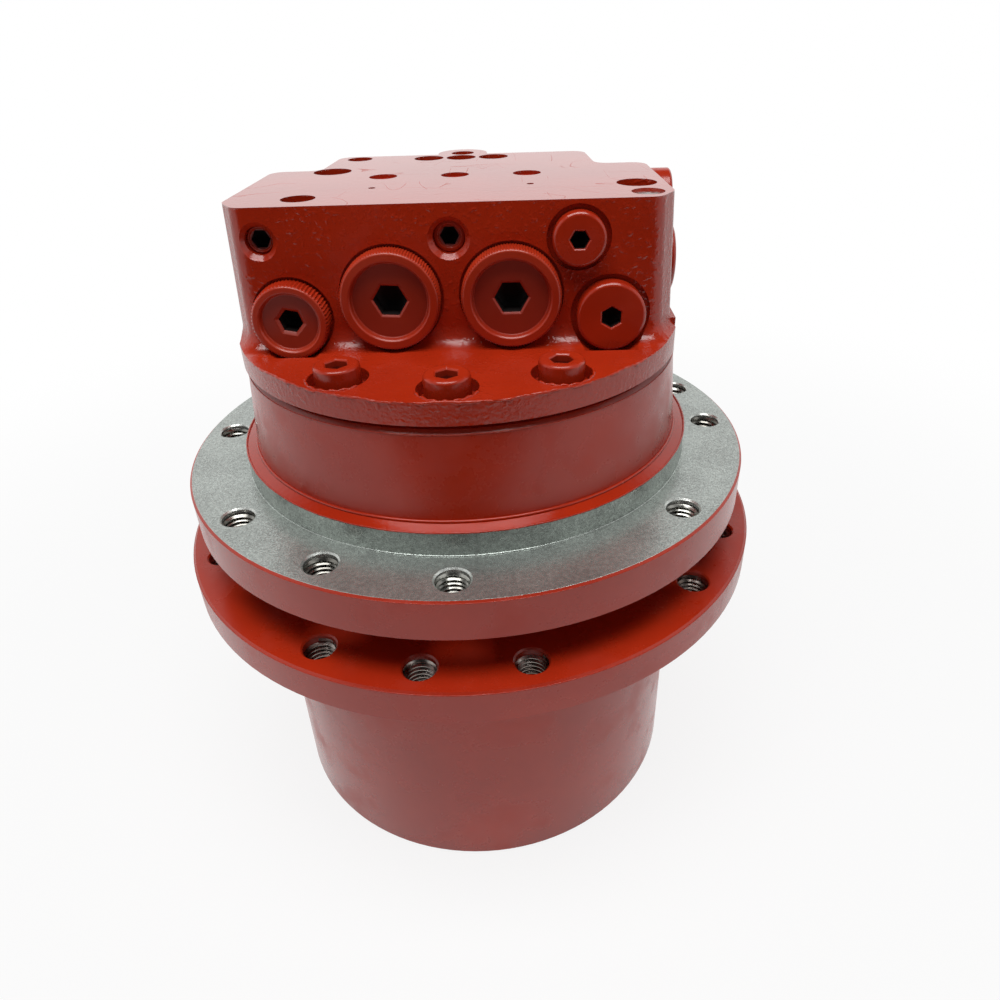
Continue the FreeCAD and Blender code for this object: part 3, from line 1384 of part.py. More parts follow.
def spools_and_caps():
    """Make the counterbalance spool and the speed spool with their springs and end caps."""
    spool("counterbalance_spool", "spool_radius", "spool_length", "spool_waist",
          "-spool_length / 2", "spool_place", "spool_level")
    spool("speed_spool", "speed_radius", "speed_length", "speed_waist",
          "speed_low", "speed_place", "speed_level")
    cap = plug("spool_cap", "spool_cap_radius", "spool_cap_height + spotface_depth", "spool_radius + face_gap",
               "spool_cap_screw - spotface_depth - face_gap", "spool_cap_socket", "socket_depth",
               ("plug_rim", "plug_face_gap"))
    seats = [Placement(Vector(sign * value("cap_reach - spotface_depth"), value("spool_place"),
                              value("spool_level")), turn) for sign, turn in ((1, OUT_RIGHT), (-1, OUT_LEFT))]
    spread("spool_end_caps", cap, seats)
    right = coil("spool_radius - 2 * spool_spring_wire - spring_side_gap", "spool_length / 2", "spool_shank_end")
    left = right.mirror(Vector(0, 0, 0), Vector(1, 0, 0))
    solid("spool_springs", Part.makeCompound([right, left]),
          at=Vector(0, value("spool_place"), value("spool_level")))
    solid("speed_spring", coil("speed_radius - spool_spring_wire - spring_side_gap",
                               "speed_low + speed_length", "speed_shank_end"),
          at=Vector(0, value("speed_place"), value("speed_level")))
    small = plug("speed_cap", "speed_cap_radius", "speed_cap_height + 2 * spotface_depth",
                 "speed_radius + face_gap", "speed_cap_screw - 2 * spotface_depth - face_gap",
                 "speed_cap_socket", "cap_socket_depth", ("plug_rim", "plug_face_gap"))
    spread("speed_end_cap", small, [Placement(Vector(value("cap_reach - 2 * spotface_depth"),
                                                     value("speed_place"), value("speed_level")), OUT_RIGHT)])


def check_and_write():
    """Check every object and piece, then write one file for each piece."""
    document.recompute()
    failed = [thing.Name for thing in document.Objects if {"Invalid", "Error"} & set(thing.State)]
    if failed:
        raise RuntimeError("failed objects: " + ", ".join(failed))
    for piece in nodes:
        if piece.Shape.isNull() or not piece.Shape.isValid():
            raise RuntimeError("bad shape: " + piece.Label)
    os.makedirs("parts", exist_ok=True)
    for piece in nodes:
        piece.Shape.exportStep(f"parts/{piece.Label}.step")
        print(piece.Label, len(piece.Shape.Solids), round(piece.Shape.Volume / 1000, 2))


fill_sheet()
drum()
ring_gear()
end_cover()
main_bearings()
face_seal()
first_stage()
second_stage()
hub()
shaft_and_bearings()
barrel()
swash_plate()
brake()
valve_block()
front_plugs()
block_screws()
top_plugs()
spools_and_caps()
check_and_write()
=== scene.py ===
"""Excavator final drive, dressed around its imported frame.

Metres, +Z along the drive's axis from the drum to the valve block, whose front face looks to -Y.
"""
import json
import logging
import math
from abc import ABC, abstractmethod
from dataclasses import dataclass
from enum import Enum
from typing import Dict, Iterable, List, Optional, Sequence, Tuple

import bmesh
import bpy
from mathutils import Matrix, Vector


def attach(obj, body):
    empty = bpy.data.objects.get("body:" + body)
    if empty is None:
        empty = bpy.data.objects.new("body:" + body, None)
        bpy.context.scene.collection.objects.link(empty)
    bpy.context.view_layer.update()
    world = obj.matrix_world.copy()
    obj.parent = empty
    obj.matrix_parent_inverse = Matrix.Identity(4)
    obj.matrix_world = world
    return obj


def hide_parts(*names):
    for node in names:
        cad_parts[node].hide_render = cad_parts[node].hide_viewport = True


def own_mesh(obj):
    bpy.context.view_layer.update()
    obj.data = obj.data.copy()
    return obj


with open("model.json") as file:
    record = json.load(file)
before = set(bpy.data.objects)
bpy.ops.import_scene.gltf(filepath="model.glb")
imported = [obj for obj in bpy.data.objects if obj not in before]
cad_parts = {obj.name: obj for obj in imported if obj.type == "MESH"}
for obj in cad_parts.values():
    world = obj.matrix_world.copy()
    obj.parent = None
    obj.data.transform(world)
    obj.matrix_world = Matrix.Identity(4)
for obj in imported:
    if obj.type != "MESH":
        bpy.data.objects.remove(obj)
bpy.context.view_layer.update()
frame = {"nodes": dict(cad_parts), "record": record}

log = logging.getLogger("final_drive")
MM = 0.001
Colour = Tuple[float, float, float]
Socket = bpy.types.NodeSocket
Sockets = bpy.types.bpy_prop_collection


class Facing(Enum):
    """The way a turned piece looks out of the drive."""

    UP = "up"
    FRONT = "front"
    RIGHT = "right"
    LEFT = "left"

    def turn(self) -> Matrix:
        """Give the turn of a piece.

        Returns:
            The rotation that takes its own +Z to this way.
        """
        turns = {
            Facing.UP: Matrix.Identity(4),
            Facing.FRONT: Matrix.Rotation(math.pi / 2, 4, "X"),
            Facing.RIGHT: Matrix.Rotation(math.pi / 2, 4, "Y"),
            Facing.LEFT: Matrix.Rotation(-math.pi / 2, 4, "Y"),
        }
        return turns[self]


class Body(Enum):
    """The moving or fixed bodies that carry new pieces."""

    HUB = "hub"
    DRUM = "drum"


# Node graphs
@dataclass(frozen=True)
class Pattern:
    """A noise, with the range of its values that counts and what that range becomes."""

    scale: float
    detail: float
    roughness: float
    low: float
    high: float
    to_low: float = 0.0
    to_high: float = 1.0


class Graph:
    """A short hand for one node tree."""

    def __init__(self, tree: bpy.types.NodeTree) -> None:
        """Start on a tree."""
        self.tree = tree

    def add(self, kind: str, **settings: object) -> bpy.types.Node:
        """Add a node.

        Args:
            kind: Blender's name of the node.
            settings: Properties of the node to set.

        Returns:
            The new node.
        """
        node = self.tree.nodes.new(kind)
        for name, setting in settings.items():
            setattr(node, name, setting)
        return node

    def wire(self, source: Socket, target: Socket) -> None:
        """Join an output to an input."""
        self.tree.links.new(source, target)

    def put(self, target: Socket, source: object) -> None:
        """Give an input an output to read, a number or a colour.

        Args:
            target: The input.
            source: A socket, a number or a colour of three numbers.
        """
        if isinstance(source, Socket):
            self.wire(source, target)
        else:
            target.default_value = (*source, 1.0) if isinstance(source, tuple) else source

    def feed(self, kind: str, inputs: Dict[object, object], output: object, **settings: object) -> Socket:
        """Add a node and feed its inputs.

        Args:
            kind: Blender's name of the node.
            inputs: What its inputs get, by number or name.
            output: The number or name of the output that is wanted.
            settings: Properties of the node to set.

        Returns:
            The output.
        """
        node = self.add(kind, **settings)
        for key, source in inputs.items():
            self.put(node.inputs[key], source)
        return node.outputs[output]

    def math(self, operation: str, *sources: object) -> Socket:
        """Add a Math node on one or two sockets or numbers."""
        return self.feed("ShaderNodeMath", dict(enumerate(sources)), 0, operation=operation)

    def total(self, *parts: Tuple[Socket, object]) -> Socket:
        """Add values up, each times its share.

        Args:
            parts: The values with their shares.

        Returns:
            The sum.
        """
        whole = None
        for source, share in parts:
            part = self.math("MULTIPLY", source, share)
            whole = part if whole is None else self.math("ADD", whole, part)
        return whole

    def noise(self, vector: Socket, scale: object, detail: float = 2.0, roughness: float = 0.5) -> Socket:
        """Give a noise between 0 and 1, with its features to the metre and its octaves."""
        return self.feed("ShaderNodeTexNoise", {"Vector": vector, "Scale": scale, "Detail": detail,
                                                "Roughness": roughness}, "Fac")

    def fit(self, source: Socket, low: float, high: float, to_low: float = 0.0, to_high: float = 1.0) -> Socket:
        """Map a range of a value smoothly to another."""
        return self.feed("ShaderNodeMapRange", {"Value": source, "From Min": low, "From Max": high, "To Min": to_low,
                                                "To Max": to_high}, "Result", interpolation_type="SMOOTHSTEP")

    def pattern(self, vector: Socket, pattern: Pattern) -> Socket:
        """Give the value of a pattern at a place."""
        cloud = self.noise(vector, pattern.scale, pattern.detail, pattern.roughness)
        return self.fit(cloud, pattern.low, pattern.high, pattern.to_low, pattern.to_high)

    def blend(self, factor: Socket, first: object, second: object) -> Socket:
        """Mix two colours, by how much of the second is wanted."""
        return self.feed("ShaderNodeMix", {0: factor, 6: first, 7: second}, 2, data_type="RGBA")

    def mix(self, factor: Socket, first: object, second: object) -> Socket:
        """Mix two values, by how much of the second is wanted."""
        return self.feed("ShaderNodeMix", {0: factor, 2: first, 3: second}, 0, data_type="FLOAT")

    def place(self) -> Socket:
        """Give the place on the piece, in metres."""
        return self.add("ShaderNodeTexCoord").outputs["Object"]

    def along(self, vector: Socket) -> List[Socket]:
        """Take a vector apart.

        Args:
            vector: The vector.

        Returns:
            Its shares along X, Y and Z.
        """
        apart = self.add("ShaderNodeSeparateXYZ")
        self.wire(vector, apart.inputs[0])
        return list(apart.outputs)

    def from_axis(self, x: Socket, y: Socket) -> Socket:
        """Give the distance from the drive's axis."""
        return self.math("SQRT", self.math("ADD", self.math("POWER", x, 2.0), self.math("POWER", y, 2.0)))

    def effect(self, group: str, **values: object) -> Sockets:
        """Place a shared effect with its own values.

        Args:
            group: The name of the effect's node group.
            values: What its inputs get, by their names in small letters.

        Returns:
            The effect's outputs.
        """
        node = self.add("ShaderNodeGroup", node_tree=bpy.data.node_groups[group])
        for name, value in values.items():
            self.put(node.inputs[name.title()], value)
        return node.outputs

    def raise_surface(self, shader: bpy.types.Node, height: Socket) -> None:
        """Bend a shader's normal by a height in metres."""
        normal = self.feed("ShaderNodeBump", {"Distance": 1.0, "Height": height}, "Normal")
        self.wire(normal, shader.inputs["Normal"])


def new_group(name: str, inputs: Sequence[Tuple[str, object]],
              outputs: Sequence[str]) -> Tuple[Graph, Sockets, Sockets]:
    """Start a shader node group with named sockets.

    Args:
        name: The group's name.
        inputs: Name and default of each input, a number or a colour.
        outputs: Name of each output.

    Returns:
        Its graph, and what its insides read and feed.
    """
    group = bpy.data.node_groups.new(name, "ShaderNodeTree")
    graph = Graph(group)
    for title, default in inputs:
        kind = "NodeSocketColor" if isinstance(default, tuple) else "NodeSocketFloat"
        graph.put(group.interface.new_socket(name=title, in_out="INPUT", socket_type=kind), default)
    for title in outputs:
        kind = "NodeSocketColor" if title == "Color" else "NodeSocketFloat"
        group.interface.new_socket(name=title, in_out="OUTPUT", socket_type=kind)
    return graph, graph.add("NodeGroupInput").outputs, graph.add("NodeGroupOutput").inputs


def empty_tree(owner: bpy.types.ID) -> Graph:
    """Empty a node tree.

    Args:
        owner: The world or material that it belongs to.

    Returns:
        The empty graph.
    """
    owner.use_nodes = True
    owner.node_tree.nodes.clear()
    return Graph(owner.node_tree)


BLOCK_CHEEK = 0.0628
SCRATCH_RUNS = ((9.0, 90.0, 0.0), (70.0, 14.0, 3.0), (34.0, 42.0, 8.0))
CAST_PATCHES = Pattern(40.0, 1.0, 0.5, 0.42, 0.62, 0.3, 0.8)
CAST_GRIT = Pattern(900.0, 3.0, 0.6, 0.3, 0.7)
FILM_PATCHES = Pattern(22.0, 4.0, 0.6, 0.35, 0.65)
DULL_SPOTS = Pattern(48.0, 5.0, 0.65, 0.45, 0.7)
IRON_BLOTCHES = Pattern(70.0, 4.0, 0.6, 0.34, 0.66)
IRON_SPECKS = Pattern(1900.0, 3.0, 0.7, 0.36, 0.62)
IRON_CLUSTERS = Pattern(700.0, 2.0, 0.6, 0.36, 0.66)
METAL_CLOUDS = Pattern(60.0, 4.0, 0.6, 0.35, 0.65)
SOFT_SPECKS = Pattern(900.0, 3.0, 0.7, 0.5, 0.68)


class Effects:
    """The effects that several finishes share, each one node group."""

    def build(self) -> None:
        """Build every group once."""
        self._cast_skin()
        self._scratches()
        self._paint_film()
        self._ground_face()
        self._round_band()

    def _cast_skin(self) -> None:
        """Make the pebbled skin of a sand casting under its paint, grittier on its rim and cheeks."""
        graph, start, end = new_group("cast_skin", [("Grain", 260.0), ("Rim", 0.0)], ["Height"])
        place = graph.place()
        across, _, level = graph.along(place)
        swell = graph.noise(place, 48.0)
        bumps = graph.fit(graph.noise(place, start["Grain"], 1.5, 0.45), 0.5, 0.8)
        patches = graph.pattern(place, CAST_PATCHES)
        grit = graph.pattern(place, CAST_GRIT)
        in_rim = graph.math("LESS_THAN", level, start["Rim"])
        cheeks = graph.math("GREATER_THAN", graph.math("ABSOLUTE", across), BLOCK_CHEEK)
        coarse = graph.mix(graph.math("MAXIMUM", in_rim, cheeks), 0.02, 0.12)
        height = graph.total((swell, 0.8), (graph.math("MULTIPLY", bumps, patches), 0.3), (grit, coarse))
        graph.wire(height, end["Height"])

    def _scratches(self) -> None:
        """Make a mask of short thin scratches on a machined and painted face."""
        graph, start, end = new_group("scratches", [("Fine", 0.004)], ["Mask"])
        place = graph.place()
        x, y, _ = graph.along(place)
        mask = None
        for number, (along, across, shift) in enumerate(SCRATCH_RUNS):
            drawn = graph.feed("ShaderNodeCombineXYZ", {0: graph.math("MULTIPLY", x, along),
                                                        1: graph.math("MULTIPLY", y, across), 2: shift}, 0)
            lines = graph.noise(drawn, 1.0, 1.0)
            near = graph.math("ABSOLUTE", graph.math("SUBTRACT", lines, 0.5))
            line = graph.math("LESS_THAN", near, start["Fine"])
            breaks = graph.fit(graph.noise(place, 26.0 + 9.0 * number), 0.54, 0.6)
            line = graph.math("MULTIPLY", line, breaks)
            mask = line if mask is None else graph.math("MAXIMUM", mask, line)
        graph.wire(mask, end["Mask"])

    def _paint_film(self) -> None:
        """Make a sprayed coat of paint: thin and thick patches, orange peel and dull spots."""
        graph, start, end = new_group(
            "paint_film", [("Thick", (0.4, 0.03, 0.01)), ("Thin", (0.3, 0.02, 0.01)), ("Gloss", 0.3), ("Dull", 0.45)],
            ["Color", "Roughness", "Height"])
        place = graph.place()
        patches = graph.pattern(place, FILM_PATCHES)
        graph.wire(graph.blend(patches, start["Thin"], start["Thick"]), end["Color"])
        dull = graph.pattern(place, DULL_SPOTS)
        graph.wire(graph.mix(dull, start["Gloss"], start["Dull"]), end["Roughness"])
        graph.wire(graph.noise(place, 620.0, 2.0, 0.4), end["Height"])

    def _ground_face(self) -> None:
        """Make a turned and blotched face of bare iron."""
        graph, start, end = new_group(
            "ground_face", [("Light", (0.5, 0.52, 0.5)), ("Dark", (0.25, 0.25, 0.25))],
            ["Color", "Roughness", "Height"])
        place = graph.place()
        blotches = graph.pattern(place, IRON_BLOTCHES)
        specks = graph.pattern(place, IRON_SPECKS)
        clusters = graph.pattern(place, IRON_CLUSTERS)
        tone = graph.total((blotches, 0.2), (specks, 0.5), (clusters, 0.3))
        graph.wire(graph.blend(tone, start["Dark"], start["Light"]), end["Color"])
        graph.wire(graph.mix(specks, 0.4, 0.24), end["Roughness"])
        graph.wire(graph.total((clusters, 0.4), (specks, 0.6)), end["Height"])

    def _round_band(self) -> None:
        """Make a mask of a band round the drive's axis, with a slightly uneven edge."""
        graph, start, end = new_group(
            "round_band", [("Low", 0.0), ("High", 1.0), ("Inner", 0.0), ("Outer", 1.0), ("Uneven", 0.0)], ["Mask"])
        place = graph.place()
        x, y, level = graph.along(place)
        waver = graph.math("SUBTRACT", graph.noise(place, 260.0, 3.0), 0.5)
        radius = graph.math("ADD", graph.from_axis(x, y), graph.math("MULTIPLY", waver, start["Uneven"]))
        mask = graph.math("GREATER_THAN", level, start["Low"])
        for operation, value, limit in (("LESS_THAN", level, "High"), ("GREATER_THAN", radius, "Inner"),
                                        ("LESS_THAN", radius, "Outer")):
            mask = graph.math("MULTIPLY", mask, graph.math(operation, value, start[limit]))
        graph.wire(mask, end["Mask"])


# Finishes
@dataclass(frozen=True)
class Band:
    """A band round the axis where the iron is bare or the paint lies thick, in metres."""

    low: float
    high: float
    inner: float
    outer: float
    uneven: float = 0.0
    light: Colour = (0.6, 0.65, 0.61)
    dark: Colour = (0.26, 0.275, 0.26)

    def mask(self, graph: Graph) -> Socket:
        """Give the band's mask in a material."""
        return graph.effect("round_band", low=self.low, high=self.high, inner=self.inner, outer=self.outer,
                            uneven=self.uneven)["Mask"]


@dataclass(frozen=True)
class Finish(ABC):
    """A finish on a Principled shader, by the name of the record's slot."""

    name: str

    def material(self) -> bpy.types.Material:
        """Build the finish.

        Returns:
            The material.
        """
        made = bpy.data.materials.new(self.name)
        graph = empty_tree(made)
        shader = graph.add("ShaderNodeBsdfPrincipled")
        graph.wire(shader.outputs["BSDF"], graph.add("ShaderNodeOutputMaterial").inputs["Surface"])
        self.dress(graph, shader)
        return made

    @abstractmethod
    def dress(self, graph: Graph, shader: bpy.types.Node) -> None:
        """Wire what the shader needs.

        Args:
            graph: The material's graph.
            shader: Its shader.
        """


@dataclass(frozen=True)
class Paint(Finish):
    """Oxide red paint over iron, steel or plastic.

    cast is the height of a casting's skin, which ends at smooth_above, where the top is machined,
    glossy and scratched. The colour inside sockets is near black: painted shade of their depth, over their bare inside.
    """

    thick: Colour = (0.44, 0.026, 0.0055)
    thin: Colour = (0.385, 0.021, 0.0045)
    gloss: float = 0.24
    dull: float = 0.4
    peel: float = 0.00003
    cast: float = 0.0
    grain: float = 650.0
    rim_below: float = 0.0
    smooth_above: float = 10.0
    scratch: float = 0.0022
    top_rough: float = 0.15
    scratch_rough: float = 0.45
    coat: float = 0.42
    scratch_coat: float = 0.2
    coat_rough: float = 0.09
    socket_shade: Colour = (0.006, 0.002, 0.0015)
    socket_shade_rough: float = 0.7
    bands: Tuple[Band, ...] = ()
    band_relief: float = 0.000012
    band_metal: float = 0.78
    wet: Optional[Band] = None

    def dress(self, graph: Graph, shader: bpy.types.Node) -> None:
        """Wire the paint's film, skin, scratches, the painted shade of sockets, and the bare bands.

        Args:
            graph: The material's graph.
            shader: Its shader.
        """
        film = graph.effect("paint_film", thick=self.thick, thin=self.thin, gloss=self.gloss, dull=self.dull)
        colour, roughness = film["Color"], film["Roughness"]
        height = graph.math("MULTIPLY", film["Height"], self.peel)
        if self.cast:
            skin = graph.effect("cast_skin", grain=self.grain, rim=self.rim_below)["Height"]
            flat = graph.math("GREATER_THAN", graph.along(graph.place())[2], self.smooth_above)
            skin = graph.math("MULTIPLY", graph.math("MULTIPLY", skin, self.cast), graph.math("SUBTRACT", 1.0, flat))
            height = graph.math("ADD", height, skin)
            marks = graph.effect("scratches", fine=self.scratch)["Mask"]
            marked = graph.math("MULTIPLY", marks, flat)
            roughness = graph.mix(marked, graph.mix(flat, roughness, self.top_rough), self.scratch_rough)
            coat = graph.math("MULTIPLY", flat, graph.mix(marked, self.coat, self.scratch_coat))
            graph.wire(coat, shader.inputs["Coat Weight"])
            shader.inputs["Coat Roughness"].default_value = self.coat_rough
        # The face attribute darkens sockets and dishes towards near black: painted shade of their depth, over the bare
        # inside of the innermost sockets.
        painted_shade = graph.add("ShaderNodeAttribute", attribute_name="painted_shade").outputs["Fac"]
        colour = graph.blend(painted_shade, colour, self.socket_shade)
        roughness = graph.mix(painted_shade, roughness, self.socket_shade_rough)
        if self.wet:
            roughness = graph.mix(self.wet.mask(graph), roughness, self.gloss * 0.5)
        metal = None
        for band in self.bands:
            ground = graph.effect("ground_face", light=band.light, dark=band.dark)
            mask = band.mask(graph)
            colour = graph.blend(mask, colour, ground["Color"])
            roughness = graph.mix(mask, roughness, ground["Roughness"])
            height = graph.mix(mask, height, graph.math("MULTIPLY", ground["Height"], self.band_relief))
            metal = mask if metal is None else graph.math("MAXIMUM", metal, mask)
        if metal is not None:
            graph.wire(graph.math("MULTIPLY", metal, self.band_metal), shader.inputs["Metallic"])
        graph.wire(colour, shader.inputs["Base Color"])
        graph.wire(roughness, shader.inputs["Roughness"])
        graph.raise_surface(shader, height)


@dataclass(frozen=True)
class Metal(Finish):
    """A bare or plated metal."""

    light: Colour
    dark: Colour
    sheen_low: float = 0.2
    sheen_high: float = 0.4
    grain: float = 400.0
    relief: float = 0.00001

    def dress(self, graph: Graph, shader: bpy.types.Node) -> None:
        """Wire a cloudy colour and a fine grain.

        Args:
            graph: The material's graph.
            shader: Its shader.
        """
        place = graph.place()
        clouds = graph.pattern(place, METAL_CLOUDS)
        fine = graph.noise(place, self.grain, 3.0, 0.6)
        graph.wire(graph.blend(clouds, self.dark, self.light), shader.inputs["Base Color"])
        graph.wire(graph.fit(fine, 0.3, 0.7, self.sheen_low, self.sheen_high), shader.inputs["Roughness"])
        shader.inputs["Metallic"].default_value = 1.0
        graph.raise_surface(shader, graph.math("MULTIPLY", fine, self.relief))


@dataclass(frozen=True)
class Soft(Finish):
    """Rubber or a sintered lining."""

    colour: Colour
    speck: Colour
    roughness: float = 0.6
    speck_rough: float = 0.8
    relief: float = 0.00002

    def dress(self, graph: Graph, shader: bpy.types.Node) -> None:
        """Wire a colour with specks.

        Args:
            graph: The material's graph.
            shader: Its shader.
        """
        specks = graph.pattern(graph.place(), SOFT_SPECKS)
        graph.wire(graph.blend(specks, self.colour, self.speck), shader.inputs["Base Color"])
        graph.wire(graph.mix(specks, self.roughness, self.speck_rough), shader.inputs["Roughness"])
        graph.raise_surface(shader, graph.math("MULTIPLY", specks, self.relief))


FRAME_FACE = Band(low=0.1399, high=0.1476, inner=0.0737, outer=0.0969, uneven=0.0006)
# The frame's bore band gives the bare steel walls of the tapped holes a near black colour: painted shade inside the
# holes.
SHADED_FRAME_BORES = Band(low=0.1263, high=0.1386, inner=0.0790, outer=0.0960, light=(0.2, 0.2, 0.19), dark=(0.06, 0.06, 0.06))
FRAME_SINKS = Band(low=0.1385, high=0.14, inner=0.0790, outer=0.0960, light=(0.74, 0.76, 0.72), dark=(0.44, 0.46, 0.44))
NECK_FOOT = Band(low=0.1476, high=0.1496, inner=0.0725, outer=0.0774)
# The sprocket flange's bore band likewise paints the bare steel walls of its tapped holes near black: painted shade
# inside the holes.
SHADED_SPROCKET_BORES = Band(low=0.1003, high=0.1092, inner=0.0800, outer=0.1010, light=(0.16, 0.14, 0.13),
                      dark=(0.06, 0.05, 0.05))


class Finishes:
    """Every finish of the drive, by the name of the record's slot."""

    def __init__(self) -> None:
        """Build the finishes."""
        kinds = (
            Paint("painted_casting", cast=0.0005, rim_below=0.1848, smooth_above=0.2257, gloss=0.2, dull=0.34),
            Paint("hub_housing", bands=(FRAME_FACE, SHADED_FRAME_BORES, FRAME_SINKS), wet=NECK_FOOT),
            Paint("drum_housing", bands=(SHADED_SPROCKET_BORES,)),
            Paint("painted_plug", thick=(0.44, 0.033, 0.008), gloss=0.3, dull=0.4, peel=0.00001),
            Paint("painted_fitting", gloss=0.22, dull=0.34, peel=0.00002),
            Paint("paint_bead", gloss=0.2, dull=0.3, peel=0.00001),
            Metal("dark_thread", (0.42, 0.38, 0.35), (0.16, 0.12, 0.1), 0.2, 0.34, 300.0, 0.0),
            Metal("black_steel", (0.06, 0.055, 0.055), (0.03, 0.028, 0.028), 0.35, 0.55),
            Metal("bare_plug", (0.72, 0.72, 0.7), (0.2, 0.12, 0.09), 0.25, 0.6, 900.0, 0.0002),
            Metal("cover_iron", (0.36, 0.36, 0.35), (0.2, 0.2, 0.2), 0.3, 0.5),
            Metal("zinc_plug", (0.64, 0.64, 0.62), (0.5, 0.5, 0.46), 0.25, 0.4),
            Metal("gear_steel", (0.56, 0.56, 0.57), (0.42, 0.42, 0.44), 0.2, 0.35),
            Metal("bearing_steel", (0.7, 0.7, 0.72), (0.62, 0.62, 0.64), 0.1, 0.22),
            Metal("bronze", (0.66, 0.48, 0.24), (0.5, 0.34, 0.16), 0.25, 0.4),
            Soft("friction_lining", (0.16, 0.12, 0.09), (0.42, 0.3, 0.14)),
            Metal("spring_steel", (0.34, 0.34, 0.36), (0.2, 0.2, 0.22), 0.25, 0.4),
            Soft("seal_rubber", (0.02, 0.02, 0.02), (0.035, 0.035, 0.035), 0.55),
            Metal("thread_steel", (0.48, 0.48, 0.44), (0.2, 0.19, 0.17), 0.2, 0.34),
        )
        self.made = {kind.name: kind.material() for kind in kinds}

    def __getitem__(self, name: str) -> bpy.types.Material:
        """Give one finish by name."""
        return self.made[name]


# Turned pieces
@dataclass(frozen=True)
class Level:
    """One level of a turned piece, in millimetres.

    reach is the radius, or half the width across flats where the level has flats. soft rounds the
    corner here, knurl is the depth of the grooves along the piece, and shade is how much painted shade
    darkens the surface that leads to this level, mostly in sockets and dishes.
    """

    height: float
    reach: float
    flats: int = 0
    soft: float = 0.0
    knurl: float = 0.0
    shade: float = 0.0

    def radius(self, angle: float, odd: bool) -> float:
        """Give the radius at an angle.

        Args:
            angle: The angle round the piece.
            odd: Whether the point lies in a groove.

        Returns:
            The radius in millimetres.
        """
        reach = self.reach - (self.knurl if odd else 0.0)
        if not self.flats:
            return reach
        sector = 2 * math.pi / self.flats
        return reach / math.cos((angle + sector / 2) % sector - sector / 2)


def softened(levels: Sequence[Level], steps: int = 4) -> List[Level]:
    """Round each corner that asks for it.

    Args:
        levels: The levels in order.
        steps: How many levels make one round corner.

    Returns:
        The levels with the round corners filled in.
    """
    out: List[Level] = []
    for index, level in enumerate(levels):
        if not level.soft or index in (0, len(levels) - 1):
            out.append(level)
            continue
        here = Vector((level.reach, level.height))
        ends = []
        for other in (levels[index - 1], levels[index + 1]):
            way = Vector((other.reach, other.height)) - here
            ends.append(here + way.normalized() * min(level.soft, way.length * 0.49))
        for step in range(steps + 1):
            share = step / steps
            point = ends[0] * (1 - share) ** 2 + here * 2 * share * (1 - share) + ends[1] * share ** 2
            out.append(Level(point.y, point.x, level.flats, 0.0, level.knurl, level.shade))
    return out


def pour(own: bmesh.types.BMesh, mesh: bmesh.types.BMesh, place: Matrix) -> None:
    """Add a form to a mesh and free it.

    Args:
        own: The form, in millimetres.
        mesh: The mesh that receives it, in metres.
        place: Its place and direction in metres.
    """
    bmesh.ops.recalc_face_normals(own, faces=own.faces[:])
    own.transform(place @ Matrix.Scale(MM, 4))
    keep = bpy.data.meshes.new("form")
    own.to_mesh(keep)
    own.free()
    mesh.from_mesh(keep)
    bpy.data.meshes.remove(keep)


def turned(mesh: bmesh.types.BMesh, levels: Sequence[Level], segments: int, place: Matrix, turn: float = 0.0) -> None:
    """Raise a closed turned piece level by level.

    Args:
        mesh: The mesh that receives it.
        levels: Its levels, from the first cap to the last.
        segments: How many points each level has.
        place: Its place and direction in metres.
        turn: How far it is turned about its own axis, in degrees.
    """
    own = bmesh.new()
    # Every face carries a painted shade value, which the paint turns into a darker colour in sockets and dishes.
    for one in (mesh, own):
        if one.faces.layers.float.get("painted_shade") is None:
            one.faces.layers.float.new("painted_shade")
    painted_shade = own.faces.layers.float["painted_shade"]
    ring = bmesh.ops.create_circle(own, cap_ends=True, radius=1.0, segments=segments)["verts"]
    grain = segments / (2 * math.pi)

    def settle(points: Iterable[bmesh.types.BMVert], level: Level) -> None:
        """Move the points of one level to their places.

        Args:
            points: The points.
            level: Their level.
        """
        for point in points:
            angle = math.atan2(point.co.y, point.co.x)
            radius = level.radius(angle, round(angle * grain) % 2 == 1)
            point.co = Vector((math.cos(angle) * radius, math.sin(angle) * radius, level.height))

    whole = softened(levels)
    settle(ring, whole[0])
    edges = list(own.edges)
    for level in whole[1:]:
        grown = bmesh.ops.extrude_edge_only(own, edges=edges)["geom"]
        points = [item for item in grown if isinstance(item, bmesh.types.BMVert)]
        edges = [item for item in grown if isinstance(item, bmesh.types.BMEdge)]
        for item in grown:
            if isinstance(item, bmesh.types.BMFace):
                item[painted_shade] = level.shade
        settle(points, level)
    for face in bmesh.ops.edgeloop_fill(own, edges=edges)["faces"]:
        face[painted_shade] = whole[-1].shade
    pour(own, mesh, place @ Matrix.Rotation(math.radians(turn), 4, "Z"))


def placed(x: float, y: float, z: float, facing: Facing = Facing.UP) -> Matrix:
    """Give a place in metres from millimetres, with a direction."""
    return Matrix.Translation(Vector((x, y, z)) * MM) @ facing.turn()


def polar(radius: float, angle: float) -> Tuple[float, float]:
    """Give the point at a radius and an angle from +X in degrees."""
    return radius * math.cos(math.radians(angle)), radius * math.sin(math.radians(angle))


def linked(mesh: bmesh.types.BMesh, name: str, material: bpy.types.Material) -> bpy.types.Object:
    """Put a mesh into the scene.

    Args:
        mesh: The finished mesh in metres, freed here.
        name: The object's name.
        material: Its finish.

    Returns:
        The object.
    """
    data = bpy.data.meshes.new(name)
    mesh.to_mesh(data)
    mesh.free()
    data.materials.append(material)
    made = bpy.data.objects.new(name, data)
    bpy.context.scene.collection.objects.link(made)
    return made


